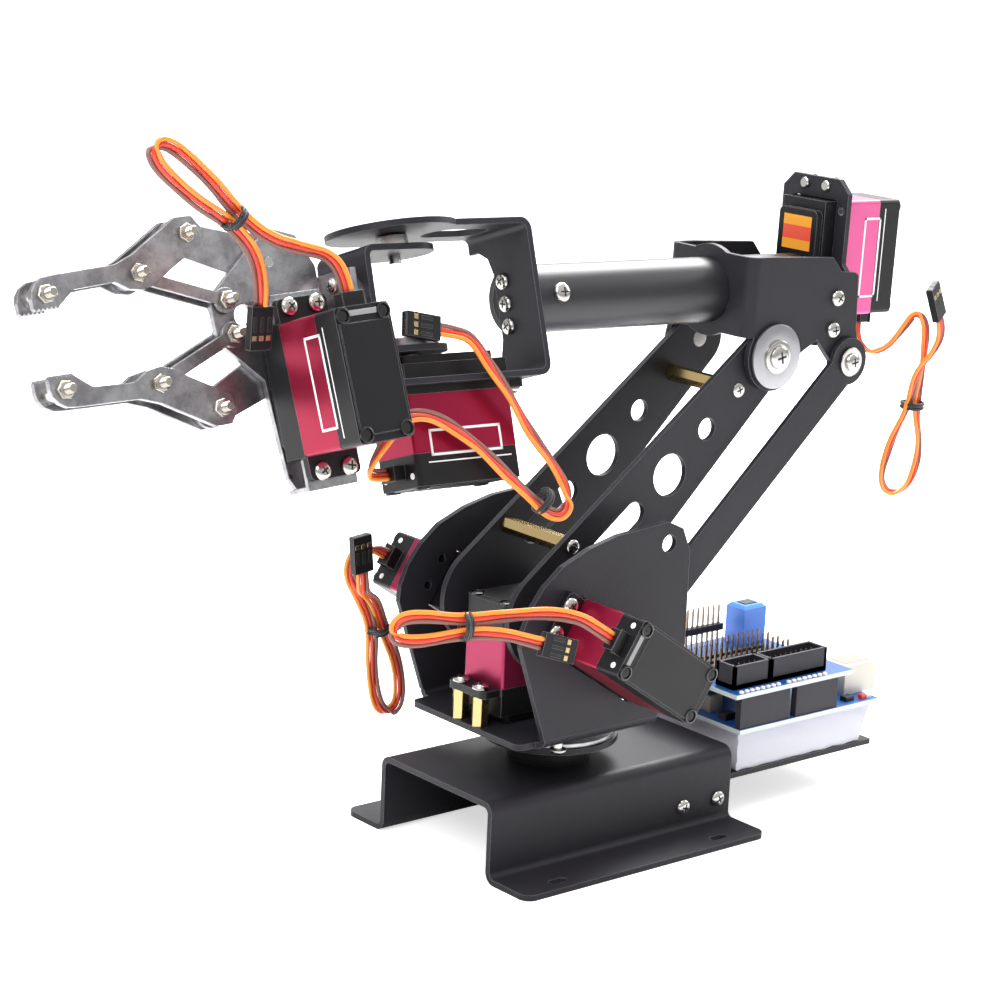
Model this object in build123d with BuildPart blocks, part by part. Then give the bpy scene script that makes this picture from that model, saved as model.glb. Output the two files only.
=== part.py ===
from build123d import *
import math
import os

os.makedirs("parts", exist_ok=True)

# Fits, used by every pin, shaft and hole of the arm
PIN_CLEARANCE = 0.05
TUBE_CLEARANCE = 0.08
SHEET = 2.0

# Base channel: hat section with two feet
BASE_LENGTH = 106.0
BASE_WEB_WIDTH = 58.0
BASE_HEIGHT = 27.0
FOOT_WIDTH = 19.0
FOOT_SLOT_X = BASE_LENGTH / 2 - 17.5
FOOT_SLOT_Y = 42.5
FOOT_SLOT_LENGTH = 7.0
FOOT_SLOT_WIDTH = 3.2

# Motor units, all six alike: 20 mm wide case with ears
CASE_LENGTH = 40.0
CASE_WIDTH = 20.0
COVER_HEIGHT = 10.0
BAND_HEIGHT = 18.0
EAR_THICKNESS = 2.5
EAR_REACH = 4.75
EAR_LENGTH = CASE_LENGTH + 2 * EAR_REACH + 5
GEAR_CASE_HEIGHT = 9.5
SHAFT_OFFSET = 10.0
EAR_NEAR = SHAFT_OFFSET + EAR_REACH
EAR_FAR = CASE_LENGTH - SHAFT_OFFSET + EAR_REACH
CASE_MIDDLE = CASE_LENGTH / 2 - SHAFT_OFFSET
EAR_HALF = 5.0
EAR_HOLE_RADIUS = 2.2
SHAFT_RADIUS = 3.0
SHAFT_DEPTH = 4.0
UNIT_BOTTOM = COVER_HEIGHT + BAND_HEIGHT + EAR_THICKNESS

# Turntable and turret
YAW_X = -5.0
RING_TOP = 36.0
DISC_TOP = 37.5
TURRET_Z = 42.5
STANDOFF_HEIGHT = 10.0
TURRET_HALF = 32.5
SHOULDER = (-20.0, 78.5)
UNIT_SLOPE = 33.5

# Upper arm
ARM_OUTER = 17.7
ARM_ANGLE = 42.3
ARM_REACH = 120.6
ELBOW = (69.2, 159.7)
CRANK_REACH = 35.0
CRANK_ANGLE = -7.7
BRACKET_OUTER = 20.5
ROD_OUTER = 22.7
ROD_THICKNESS = 1.8

# Forearm: tube axis through the roll motor and the wrist
FOREARM_TILT = 2.0
FOREARM_ROLL = -19.0
WRIST = (-74.0, 0.0, 184.7)
ROLL_X = 106.0
TUBE_RADIUS = 11.0
TUBE_WALL = 2.0
FORK_REACH = 44.0
FORK_TOP = 24.0
FORK_BOTTOM = -26.0
YOKE_TOP = 17.5
YOKE_BOTTOM = -15.5

# Gripper: two meshing gear arms and two parallel jaws
GRIP_TILT = -4.3
GRIP_X = -60.0
GEAR_X = 18.5
GEAR_PITCH = 15.0
GEAR_TEETH = 20
LINK = (-30.0, 11.0)
PALM_PIVOT = (-0.5, 5.2)
JAW_TIP = (-62.0, 13.7)
BOLT_RADIUS = 1.5


def turned(angle, axis, v):
    c = math.cos(math.radians(angle))
    s = math.sin(math.radians(angle))
    x, y, z = v
    if axis == "x":
        return (x, c * y - s * z, s * y + c * z)
    return (c * x + s * z, y, -s * x + c * z)


def frame_at(origin, tilt, roll):
    x_dir = turned(tilt, "y", turned(roll, "x", (1, 0, 0)))
    z_dir = turned(tilt, "y", turned(roll, "x", (0, 0, 1)))
    return Plane(origin=origin, x_dir=x_dir, z_dir=z_dir)


def spot(frame, x, y, z):
    return frame.origin + frame.x_dir * x + frame.y_dir * y + frame.z_dir * z


def side(frame, y):
    return Plane(origin=spot(frame, 0, y, 0), x_dir=frame.x_dir, z_dir=-frame.y_dir)


def front(frame, x):
    return Plane(origin=spot(frame, x, 0, 0), x_dir=frame.y_dir, z_dir=frame.x_dir)


def top(frame, z):
    return Plane(origin=spot(frame, 0, 0, z), x_dir=frame.x_dir, z_dir=frame.z_dir)


world = Plane(origin=(0, 0, 0), x_dir=(1, 0, 0), z_dir=(0, 0, 1))
arm_dir = (math.cos(math.radians(ARM_ANGLE)), math.sin(math.radians(ARM_ANGLE)))
arm_left = (-arm_dir[1], arm_dir[0])
crank_dir = (math.cos(math.radians(CRANK_ANGLE)), math.sin(math.radians(CRANK_ANGLE)))
CRANK_PIN = (SHOULDER[0] + CRANK_REACH * crank_dir[0], SHOULDER[1] + CRANK_REACH * crank_dir[1])
ROD_TOP = (ELBOW[0] + CRANK_REACH * crank_dir[0], ELBOW[1] + CRANK_REACH * crank_dir[1])
ROLL_Z = WRIST[2] - (ROLL_X - WRIST[0]) * math.tan(math.radians(FOREARM_TILT))
tube_run = (ROLL_X - WRIST[0]) / math.cos(math.radians(FOREARM_TILT))

# Frames of the tilted groups
elbow = frame_at((ROLL_X, 0, ROLL_Z), FOREARM_TILT, 0)
fore = frame_at(WRIST, FOREARM_TILT, FOREARM_ROLL)
grip_tilted = turned(FOREARM_TILT, "y", turned(FOREARM_ROLL, "x", turned(GRIP_TILT, "y", (1, 0, 0))))
grip_up = turned(FOREARM_TILT, "y", turned(FOREARM_ROLL, "x", turned(GRIP_TILT, "y", (0, 0, 1))))
grip = Plane(origin=spot(fore, GRIP_X, 0, 0), x_dir=grip_tilted, z_dir=grip_up)


def along_arm(u, v):
    return (SHOULDER[0] + arm_dir[0] * u + arm_left[0] * v, SHOULDER[1] + arm_dir[1] * u + arm_left[1] * v)


def save(part, name):
    part.part.label = name
    export_step(part.part, "parts/" + name + ".step")


def disc(plane, spots, radius, height, mode=Mode.ADD):
    with BuildSketch(plane) as flat:
        with Locations(*spots):
            Circle(radius)
    extrude(flat.sketch, amount=height, mode=mode)


def block(plane, centre, size, height, mode=Mode.ADD, corner=0.0):
    with BuildSketch(plane) as flat:
        with Locations(centre):
            if corner:
                RectangleRounded(size[0], size[1], corner)
            else:
                Rectangle(size[0], size[1])
    extrude(flat.sketch, amount=height, mode=mode)


def outline(plane, points, height, mode=Mode.ADD):
    with BuildSketch(plane) as flat:
        with BuildLine():
            Polyline(*points, close=True)
        make_face()
    extrude(flat.sketch, amount=height, mode=mode)


def bar(plane, ends, radii, height):
    with BuildSketch(plane) as flat:
        with Locations(ends[0]):
            Circle(radii[0])
        with Locations(ends[1]):
            Circle(radii[1])
        make_hull()
    extrude(flat.sketch, amount=height)


ear_spots = [(-EAR_NEAR, -EAR_HALF), (-EAR_NEAR, EAR_HALF), (EAR_FAR, -EAR_HALF), (EAR_FAR, EAR_HALF)]


def motor_cases(frame):
    middle = (CASE_MIDDLE, 0)
    with BuildPart() as cases:
        block(frame.offset(-UNIT_BOTTOM), middle, (CASE_LENGTH, CASE_WIDTH), COVER_HEIGHT, corner=1.5)
        block(frame.offset(-UNIT_BOTTOM + 3), (-12, 0), (4.4, 7), 4.5)
        block(frame.offset(-EAR_THICKNESS), middle, (EAR_LENGTH, 18.5), EAR_THICKNESS, corner=2)
        block(frame.offset(-EAR_THICKNESS), middle, (CASE_LENGTH, CASE_WIDTH), EAR_THICKNESS + 7)
        block(frame.offset(7), (CASE_MIDDLE - 1.5, 0), (CASE_LENGTH - 4, CASE_WIDTH - 2), GEAR_CASE_HEIGHT - 7, corner=2)
        disc(frame.offset(-EAR_THICKNESS), ear_spots, EAR_HOLE_RADIUS, EAR_THICKNESS, Mode.SUBTRACT)
        disc(frame.offset(GEAR_CASE_HEIGHT - SHAFT_DEPTH), [(0, 0)], SHAFT_RADIUS + PIN_CLEARANCE,
             SHAFT_DEPTH, Mode.SUBTRACT)
    return cases


def motor_band(frame):
    middle = (CASE_MIDDLE, 0)
    with BuildPart() as band:
        block(frame.offset(-UNIT_BOTTOM + COVER_HEIGHT), middle, (CASE_LENGTH, CASE_WIDTH), BAND_HEIGHT, corner=1.2)
    return band


def ear_screws(frame, below, depth):
    for x in (-EAR_NEAR, EAR_FAR):
        for y in (-EAR_HALF, EAR_HALF):
            disc(frame.offset(-EAR_THICKNESS - 1.8), [(x, y)], 2.9, 1.8)
            disc(frame.offset(-EAR_THICKNESS), [(x, y)], BOLT_RADIUS, EAR_THICKNESS + depth)


def cable(points, radius):
    pts = [Vector(*p) if isinstance(p, tuple) else p for p in points]
    runs = [(b - a) for a, b in zip(pts, pts[1:])]
    tightest = 999.0
    with BuildPart() as cord:
        with BuildLine() as path:
            here = pts[0]
            for i in range(1, len(pts) - 1):
                u = runs[i - 1].normalized()
                v = runs[i].normalized()
                reach = 0.45 * min(runs[i - 1].length, runs[i].length)
                half = math.radians(u.get_angle(v)) / 2
                tightest = min(tightest, reach / math.tan(half))
                start = pts[i] - u * reach
                end = pts[i] + v * reach
                Line(here, start)
                TangentArc(start, end, tangent=u)
                here = end
            Line(here, pts[-1])
        with BuildSketch(Plane(origin=pts[0], z_dir=runs[0].normalized())):
            Circle(radius)
        sweep()
    length = sum(edge.length for edge in path.edges())
    return cord, tightest, length


def lead(motor, route, mouth, away, across, tie_at, tie_dir):
    exit_face = spot(motor, -SHAFT_OFFSET - 4.2, 0, -UNIT_BOTTOM + 5.25)
    back = Vector(*away).normalized()
    end = Vector(*mouth)
    points = [exit_face, exit_face - motor.x_dir * 6] + route + [end - back * 6, end]
    cord, tightest, length = cable(points, CORD_RADIUS)
    plug = Plane(origin=end, x_dir=across, z_dir=back)
    tie = Plane(origin=tie_at, z_dir=tie_dir)
    with BuildPart() as pieces:
        block(plug, (0, 0), (7.6, 2.6), 13)
        disc(tie.offset(-1.2), [(0, 0)], 4.4, 2.4)
        add(cord.part, mode=Mode.SUBTRACT)
    return cord, pieces, tightest, length


# Base channel
TRAY_SCREWS = (BASE_LENGTH / 2 - 22, BASE_LENGTH / 2 - 6)
leg_y = BASE_WEB_WIDTH / 2 - SHEET / 2
foot_y = BASE_WEB_WIDTH / 2 + FOOT_WIDTH
with BuildPart() as base_channel:
    with BuildSketch(Plane.YZ.offset(-BASE_LENGTH / 2)):
        with BuildLine():
            FilletPolyline((-foot_y, 1), (-leg_y, 1), (-leg_y, BASE_HEIGHT - 1), (leg_y, BASE_HEIGHT - 1),
                           (leg_y, 1), (foot_y, 1), radius=3)
        trace(line_width=SHEET)
    extrude(amount=BASE_LENGTH)
    with BuildSketch(Plane.XY):
        with Locations((-FOOT_SLOT_X, -FOOT_SLOT_Y), (-FOOT_SLOT_X, FOOT_SLOT_Y),
                       (FOOT_SLOT_X, -FOOT_SLOT_Y), (FOOT_SLOT_X, FOOT_SLOT_Y)):
            SlotOverall(FOOT_SLOT_LENGTH, FOOT_SLOT_WIDTH)
    extrude(amount=SHEET, mode=Mode.SUBTRACT)
    uprights = base_channel.edges().filter_by(Axis.Z)
    fillet([e for e in uprights if abs(e.center().Y) > foot_y - 0.1], 4)
    disc(Plane.XZ.offset(BASE_WEB_WIDTH / 2 + 1), [(x, 9.5) for x in TRAY_SCREWS], 1.6, -BASE_WEB_WIDTH - 2, Mode.SUBTRACT)
save(base_channel, "base_channel")

# Controller tray, held by its two side lips inside the channel webs
TRAY_Z = 14.0
TRAY_HALF = BASE_WEB_WIDTH / 2 - SHEET - 0.5
with BuildPart() as controller_tray:
    block(top(world, TRAY_Z), (76, 0), (98, 2 * TRAY_HALF), SHEET)
    for s in (-1, 1):
        block(top(world, 4.5), (39, s * (BASE_WEB_WIDTH / 2 - SHEET - 0.75)), (26, 1.5), TRAY_Z + SHEET - 4.5)
    disc(Plane.XZ.offset(BASE_WEB_WIDTH / 2 + 1), [(x, 9.5) for x in TRAY_SCREWS], 1.6, -BASE_WEB_WIDTH - 2, Mode.SUBTRACT)
save(controller_tray, "controller_tray")

with BuildPart() as foam_pad:
    block(top(world, TRAY_Z + SHEET), (92, 0), (66, 51), 14)
save(foam_pad, "foam_pad")

BOARD_Z = TRAY_Z + SHEET + 14
with BuildPart() as controller_board:
    block(top(world, BOARD_Z), (91.5, -1.5), (69, 53.4), 1.6)
save(controller_board, "controller_board")

SHIELD_Z = BOARD_Z + 13
with BuildPart() as shield_board:
    block(top(world, SHIELD_Z), (83, -1.5), (57, 53.4), 1.6)
save(shield_board, "shield_board")

with BuildPart() as board_connectors:
    for y in (-26.3, 23.3):
        block(top(world, BOARD_Z + 1.6), (69.5, y), (24, 2.5), SHIELD_Z - BOARD_Z - 1.6)
        block(top(world, BOARD_Z + 1.6), (94.5, y), (20.5, 2.5), SHIELD_Z - BOARD_Z - 1.6)
    block(top(world, BOARD_Z + 1.6), (124.5, -14), (16, 12), 11)
    for x in (67, 85, 102):
        block(top(world, SHIELD_Z + 1.6), (x, -19), (15.5, 9), 8.5)
    block(top(world, SHIELD_Z + 1.6), (102.5, 17), (10, 9), 10)
    for y in (-9, -4, 1, 6):
        block(top(world, SHIELD_Z + 1.6), (80, y), (44, 2.5), 2.5)
        block(top(world, SHIELD_Z + 4.1), (80, y), (43, 0.7), 6)
save(board_connectors, "board_connectors")

# Turntable: black flanged column on the channel, bright hub carrying the fixed shaft
with BuildPart() as turntable_ring:
    disc(top(world, BASE_HEIGHT), [(YAW_X, 0)], 14, RING_TOP - SHEET - BASE_HEIGHT)
    disc(top(world, RING_TOP - SHEET), [(YAW_X, 0)], 23, SHEET)
save(turntable_ring, "turntable_ring")

base_motor = Plane(origin=(YAW_X, 0, TURRET_Z + SHEET + STANDOFF_HEIGHT), x_dir=(-1, 0, 0), z_dir=(0, 0, -1))
yaw_case_tip = TURRET_Z + SHEET + STANDOFF_HEIGHT - GEAR_CASE_HEIGHT
with BuildPart() as turntable_hub:
    disc(top(world, RING_TOP), [(YAW_X, 0)], 22, DISC_TOP - RING_TOP)
    disc(top(world, DISC_TOP), [(YAW_X, 0)], 10, yaw_case_tip - 0.3 - DISC_TOP)
    disc(top(world, yaw_case_tip - 0.3), [(YAW_X, 0)], SHAFT_RADIUS, SHAFT_DEPTH)
save(turntable_hub, "turntable_hub")

with BuildPart() as base_fasteners:
    for x in TRAY_SCREWS:
        for s in (-1, 1):
            plane = Plane(origin=(x, s * BASE_WEB_WIDTH / 2, 9.5), z_dir=(0, s, 0))
            disc(plane, [(0, 0)], 2.8, 1.8)
            disc(plane, [(0, 0)], 1.6, -5)
save(base_fasteners, "base_fasteners")

# Turret bracket: one bent sheet with two shaped cheeks
near_motor = Plane(origin=(SHOULDER[0], -TURRET_HALF, SHOULDER[1]),
                   x_dir=(math.cos(math.radians(UNIT_SLOPE)), 0, -math.sin(math.radians(UNIT_SLOPE))), z_dir=(0, 1, 0))
far_motor = Plane(origin=(SHOULDER[0], TURRET_HALF, SHOULDER[1]),
                  x_dir=near_motor.x_dir, z_dir=(0, -1, 0))
cheek = [(-35.4, 46), (13.7, 46), (24.2, 69), (24, 101), (20.5, 109), (14, 112), (-8, 110.3), (-20, 107.5),
         (-31, 103), (-38.5, 97), (-43.5, 90.5), (-46.3, 84), (-46.8, 78.5)]
HANGING = [(-22, -24), (-22, 24)]
with BuildPart() as turret_bracket:
    with BuildSketch(Plane.YZ.offset(-35)):
        with BuildLine():
            h = TURRET_HALF - SHEET / 2
            FilletPolyline((-h, 50), (-h, TURRET_Z + 1), (h, TURRET_Z + 1), (h, 50), radius=3)
        trace(line_width=SHEET)
    extrude(amount=48.5)
    block(top(world, TURRET_Z), (YAW_X - EAR_FAR + EAR_REACH, 0), (15, 56), SHEET, corner=3)
    for y in (TURRET_HALF, -TURRET_HALF + SHEET):
        outline(side(world, y), cheek, SHEET)
    disc(top(world, TURRET_Z), [(YAW_X, 0)], 12, SHEET, Mode.SUBTRACT)
    disc(top(world, TURRET_Z), HANGING, BOLT_RADIUS, SHEET, Mode.SUBTRACT)
    disc(base_motor.offset(STANDOFF_HEIGHT), ear_spots, BOLT_RADIUS, SHEET, Mode.SUBTRACT)
    for motor in (near_motor, far_motor):
        block(motor.offset(-1), (CASE_MIDDLE, 0), (CASE_LENGTH + 0.8, CASE_WIDTH + 0.8), SHEET + 2, Mode.SUBTRACT)
        disc(motor.offset(-1), ear_spots, BOLT_RADIUS, SHEET + 2, Mode.SUBTRACT)
    for y in (TURRET_HALF, -TURRET_HALF + SHEET):
        disc(side(world, y), [(14.5, 104.6)], 3, SHEET, Mode.SUBTRACT)
save(turret_bracket, "turret_bracket")

with BuildPart() as base_motor_standoffs:
    with BuildSketch(base_motor):
        with Locations(*ear_spots):
            RegularPolygon(2.9, 6)
    extrude(amount=STANDOFF_HEIGHT)
save(base_motor_standoffs, "base_motor_standoffs")

save(motor_cases(base_motor), "base_motor_case")
save(motor_band(base_motor), "base_motor_band")
save(motor_cases(near_motor), "near_motor_case")
save(motor_band(near_motor), "near_motor_band")
save(motor_cases(far_motor), "far_motor_case")
save(motor_band(far_motor), "far_motor_band")

with BuildPart() as turret_fasteners:
    for motor in (near_motor, far_motor):
        ear_screws(motor, 0, SHEET + 0.2)
    for spotxy in ear_spots:
        disc(base_motor.offset(-EAR_THICKNESS - 1.8), [spotxy], 2.9, 1.8)
        disc(base_motor.offset(-EAR_THICKNESS), [spotxy], BOLT_RADIUS, EAR_THICKNESS)
        disc(base_motor.offset(STANDOFF_HEIGHT), [spotxy], BOLT_RADIUS, SHEET)
    disc(top(world, RING_TOP + 1), HANGING, 2.9, 1.8)
    disc(top(world, RING_TOP + 2.8), HANGING, BOLT_RADIUS, TURRET_Z + SHEET - RING_TOP - 2.8)
save(turret_fasteners, "turret_fasteners")


# Upper arm: two alike plates on two hexagon standoffs
def arm_plate(y):
    with BuildPart() as plate:
        with BuildSketch(side(world, y)):
            with Locations(along_arm(0, 3.5)):
                Circle(17.5)
            with Locations(ELBOW):
                Circle(10.2)
            make_hull()
            with Locations(along_arm(64.6, 1.3)):
                Circle(7.2, mode=Mode.SUBTRACT)
            with Locations(along_arm(85.6, 1.0)):
                Circle(3.8, mode=Mode.SUBTRACT)
            with Locations(Location(along_arm(36.6, 3.6), ARM_ANGLE - 5)):
                SlotOverall(27, 8.6, mode=Mode.SUBTRACT)
            with Locations(SHOULDER):
                Circle(4 + PIN_CLEARANCE, mode=Mode.SUBTRACT)
            with Locations(ELBOW):
                Circle(3, mode=Mode.SUBTRACT)
        extrude(amount=SHEET)
    return plate


arm_plate_near = arm_plate(-ARM_OUTER + SHEET)
save(arm_plate_near, "arm_plate_near")
arm_plate_far = arm_plate(ARM_OUTER)
save(arm_plate_far, "arm_plate_far")

STANDOFF_SPOTS = [along_arm(103.8, 0.6), along_arm(21.3, 15.4)]
with BuildPart() as arm_standoffs:
    with BuildSketch(side(world, ARM_OUTER - SHEET)):
        with Locations(*STANDOFF_SPOTS):
            RegularPolygon(2.9, 6)
    extrude(amount=2 * (ARM_OUTER - SHEET))
save(arm_standoffs, "arm_standoffs")

shoulder_far = TURRET_HALF - GEAR_CASE_HEIGHT
with BuildPart() as shoulder_horn:
    disc(side(world, shoulder_far - 0.3), [SHOULDER], 10, shoulder_far - 0.3 - ARM_OUTER)
    disc(side(world, shoulder_far - 0.3), [SHOULDER], SHAFT_RADIUS, -SHAFT_DEPTH + 0.3)
    disc(side(world, ARM_OUTER), [SHOULDER], 4, SHEET)
save(shoulder_horn, "shoulder_horn")

with BuildPart() as elbow_pivots:
    for s in (-1, 1):
        plane = Plane(origin=(ELBOW[0], s * (ARM_OUTER - SHEET), ELBOW[1]), z_dir=(0, s, 0))
        disc(plane, [(0, 0)], 3, BRACKET_OUTER + 0.4 - ARM_OUTER + SHEET)
        disc(plane.offset(SHEET), [(0, 0)], 5, 0.5)
        disc(plane.offset(BRACKET_OUTER + 0.3 - ARM_OUTER + SHEET), [(0, 0)], 11, 2.2)
        disc(plane.offset(BRACKET_OUTER + 2.5 - ARM_OUTER + SHEET), [(0, 0)], 4.2, 1.2)
save(elbow_pivots, "elbow_pivots")

with BuildPart() as arm_fasteners:
    for s in (-1, 1):
        for at in STANDOFF_SPOTS:
            plane = Plane(origin=(at[0], s * ARM_OUTER, at[1]), z_dir=(0, s, 0))
            disc(plane, [(0, 0)], 2.6, 0.6 if at == STANDOFF_SPOTS[0] else 1.6)
save(arm_fasteners, "arm_fasteners")

# Crank on the near motor shaft and the tie rod behind the arm
crank_outer = ROD_OUTER - ROD_THICKNESS - 0.4
near_tip = TURRET_HALF - GEAR_CASE_HEIGHT
with BuildPart() as crank:
    bar(side(world, -ARM_OUTER - 0.8), (SHOULDER, CRANK_PIN), (10, 6), crank_outer - ARM_OUTER - 0.8)
    disc(side(world, -crank_outer), [SHOULDER], 10, near_tip - 0.3 - crank_outer)
    disc(side(world, -near_tip + 0.3), [SHOULDER], SHAFT_RADIUS, SHAFT_DEPTH - 0.3)
    disc(side(world, -crank_outer), [CRANK_PIN], 2.5, ROD_THICKNESS + 0.35)
    disc(side(world, -ARM_OUTER + SHEET), [SHOULDER], 4, SHEET + 0.8)
save(crank, "crank")

with BuildPart() as tie_rod:
    bar(side(world, -ROD_OUTER + ROD_THICKNESS), (CRANK_PIN, ROD_TOP), (6, 6), ROD_THICKNESS)
    disc(side(world, -ROD_OUTER + ROD_THICKNESS), [ROD_TOP], 8.2, ROD_THICKNESS)
    disc(side(world, -ROD_OUTER + ROD_THICKNESS), [ROD_TOP, CRANK_PIN], 2.5 + PIN_CLEARANCE, ROD_THICKNESS,
         Mode.SUBTRACT)
save(tie_rod, "tie_rod")


def to_elbow(p):
    v = Vector(p[0], 0, p[1]) - elbow.origin
    return (v.dot(elbow.x_dir), v.dot(elbow.z_dir))


# Elbow bracket: front plate round the tube and two cheeks
E_LOCAL = to_elbow(ELBOW)
A_LOCAL = to_elbow(ROD_TOP)
bracket_cheek = [(-40, 13.5), (-11.5, 12.5), (-7, 7.5), (0, 7), (1.5, 6), (2.7, -12), (A_LOCAL[0] + 7, A_LOCAL[1]),
                 (A_LOCAL[0] - 7, A_LOCAL[1]), (-16, -15.5), (E_LOCAL[0] + 12, E_LOCAL[1]),
                 (E_LOCAL[0] - 12, E_LOCAL[1]), (-46, -13.5), (-40, -13.5)]
with BuildPart() as elbow_bracket:
    with BuildSketch(top(elbow, -13.5)):
        with BuildLine():
            h = BRACKET_OUTER - SHEET / 2
            FilletPolyline((-38, -h), (-49, -h), (-49, h), (-38, h), radius=3)
        trace(line_width=SHEET)
    extrude(amount=27)
    for y in (BRACKET_OUTER, -BRACKET_OUTER + SHEET):
        outline(side(elbow, y), bracket_cheek, SHEET)
        disc(side(elbow, y), [E_LOCAL], 12, SHEET)
        disc(side(elbow, y), [A_LOCAL], 7, SHEET)
        disc(side(elbow, y), [E_LOCAL], 3 + PIN_CLEARANCE, SHEET, Mode.SUBTRACT)
    disc(front(elbow, -50), [(0, 0)], 15.5, SHEET)
    disc(front(elbow, -51), [(0, 0)], TUBE_RADIUS + TUBE_CLEARANCE, 4, Mode.SUBTRACT)
save(elbow_bracket, "elbow_bracket")

ears_up = [(y, x) for x, y in ear_spots]
MOUNT_HALF = BRACKET_OUTER - SHEET - 0.05
MOUNT_TOP = EAR_FAR + 2.85
mount_face = [(-MOUNT_HALF, -18), (MOUNT_HALF, -18), (MOUNT_HALF, 6), (15.5, 9), (15.5, MOUNT_TOP - 4.6),
              (10.8, MOUNT_TOP), (-10.8, MOUNT_TOP), (-15.5, MOUNT_TOP - 4.6), (-15.5, 9), (-MOUNT_HALF, 6)]
with BuildPart() as roll_motor_mount:
    outline(front(elbow, -SHEET), mount_face, SHEET)
    block(front(elbow, -SHEET), (0, CASE_MIDDLE), (CASE_WIDTH + 0.8, CASE_LENGTH + 0.8), SHEET, Mode.SUBTRACT)
    for s in (-1, 1):
        block(top(elbow, -18), (-7.5, s * (MOUNT_HALF - SHEET / 2)), (15, SHEET), 22)
    disc(front(elbow, -SHEET), [(12.8, EAR_FAR - 7.75), (-12.8, EAR_FAR - 7.75)], 1.4, SHEET, Mode.SUBTRACT)
    disc(front(elbow, -SHEET), ears_up, BOLT_RADIUS, SHEET, Mode.SUBTRACT)
save(roll_motor_mount, "roll_motor_mount")

roll_motor = Plane(origin=elbow.origin, x_dir=elbow.z_dir, z_dir=-elbow.x_dir)
save(motor_cases(roll_motor), "roll_motor_case")
save(motor_band(roll_motor), "roll_motor_band")

with BuildPart() as elbow_fasteners:
    ear_screws(roll_motor, 0, SHEET + 0.2)
    for s in (-1, 1):
        for at in ((-8.2, -1.5), (-8.9, -12.5)):
            plane = Plane(origin=spot(elbow, at[0], s * BRACKET_OUTER, at[1]), z_dir=(0, s, 0))
            disc(plane, [(0, 0)], 2.9, 1.8)
    rod_pin = Plane(origin=(ROD_TOP[0], -BRACKET_OUTER, ROD_TOP[1]), z_dir=(0, -1, 0))
    disc(rod_pin, [(0, 0)], 2.5, ROD_OUTER - BRACKET_OUTER + 0.3)
    disc(rod_pin.offset(ROD_OUTER - BRACKET_OUTER + 0.2), [(0, 0)], 4.8, 1.2)
    disc(rod_pin.offset(ROD_OUTER - BRACKET_OUTER + 1.4), [(0, 0)], 2.6, 1.4)
save(elbow_fasteners, "elbow_fasteners")

# Forearm tube with its two plugs
tube_end = tube_run - 15.0
with BuildPart() as forearm_tube:
    disc(front(fore, FORK_REACH), [(0, 0)], TUBE_RADIUS, tube_end - FORK_REACH)
    disc(front(fore, FORK_REACH), [(0, 0)], TUBE_RADIUS - TUBE_WALL, tube_end - FORK_REACH, Mode.SUBTRACT)
    disc(Plane(origin=spot(fore, 56, 0, 0), z_dir=-fore.y_dir), [(0, 0)], BOLT_RADIUS, TUBE_RADIUS, Mode.SUBTRACT)
save(forearm_tube, "forearm_tube")

with BuildPart() as tube_plugs:
    disc(front(fore, FORK_REACH), [(0, 0)], TUBE_RADIUS - TUBE_WALL, 12)
    disc(front(fore, tube_end - 8), [(0, 0)], TUBE_RADIUS - TUBE_WALL, 8)
    disc(front(fore, tube_end), [(0, 0)], TUBE_RADIUS, 15 - GEAR_CASE_HEIGHT - 0.3)
    disc(front(fore, tube_run - GEAR_CASE_HEIGHT - 0.3), [(0, 0)], SHAFT_RADIUS, SHAFT_DEPTH)
save(tube_plugs, "tube_plugs")

# Wrist fork: bent strip with a round upper lug and a lower motor plate
web_cut = [(30, 17), (10.5, 17), (6.2, 14.3), (4.3, 9), (4.3, -12), (6.5, -18.5), (9, -22), (30, -22)]
with BuildPart() as wrist_fork:
    with BuildSketch(side(fore, 15)):
        with BuildLine():
            m = SHEET / 2
            FilletPolyline((4, FORK_TOP - m), (FORK_REACH - m, FORK_TOP - m),
                           (FORK_REACH - m, FORK_BOTTOM + m), (-19, FORK_BOTTOM + m), radius=3)
        trace(line_width=SHEET)
    extrude(amount=30)
    disc(top(fore, FORK_TOP - SHEET), [(0, 0)], 20.5, SHEET)
    block(top(fore, FORK_BOTTOM - 1), (CASE_MIDDLE, 0), (CASE_LENGTH + 0.8, CASE_WIDTH + 0.8), SHEET + 2, Mode.SUBTRACT)
    with BuildSketch(top(fore, FORK_TOP - SHEET)):
        with Locations((25, 0)):
            SlotOverall(24, 13)
    extrude(amount=SHEET, mode=Mode.SUBTRACT)
    outline(front(fore, FORK_REACH - SHEET - 1), web_cut, SHEET + 2, Mode.SUBTRACT)
    disc(top(fore, FORK_TOP - SHEET), [(0, 0)], 2 + PIN_CLEARANCE, SHEET, Mode.SUBTRACT)
    disc(top(fore, FORK_BOTTOM), ear_spots, BOLT_RADIUS, SHEET, Mode.SUBTRACT)
save(wrist_fork, "wrist_fork")

wrist_motor = Plane(origin=spot(fore, 0, 0, FORK_BOTTOM), x_dir=fore.x_dir, z_dir=fore.z_dir)
save(motor_cases(wrist_motor), "wrist_motor_case")
save(motor_band(wrist_motor), "wrist_motor_band")

with BuildPart() as fork_fasteners:
    ear_screws(wrist_motor, 0, SHEET + 0.2)
    for z in (6, -1.2, -8.4):
        plane = Plane(origin=spot(fore, FORK_REACH - SHEET, 0, z), z_dir=-fore.x_dir)
        disc(plane, [(0, 0)], 2.7, 1.7)
    tube_screw = Plane(origin=spot(fore, 56, -TUBE_RADIUS, 0), z_dir=-fore.y_dir)
    disc(tube_screw, [(0, 0)], 3.2, 1.8)
    disc(tube_screw, [(0, 0)], BOLT_RADIUS, -TUBE_WALL)
save(fork_fasteners, "fork_fasteners")

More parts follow.
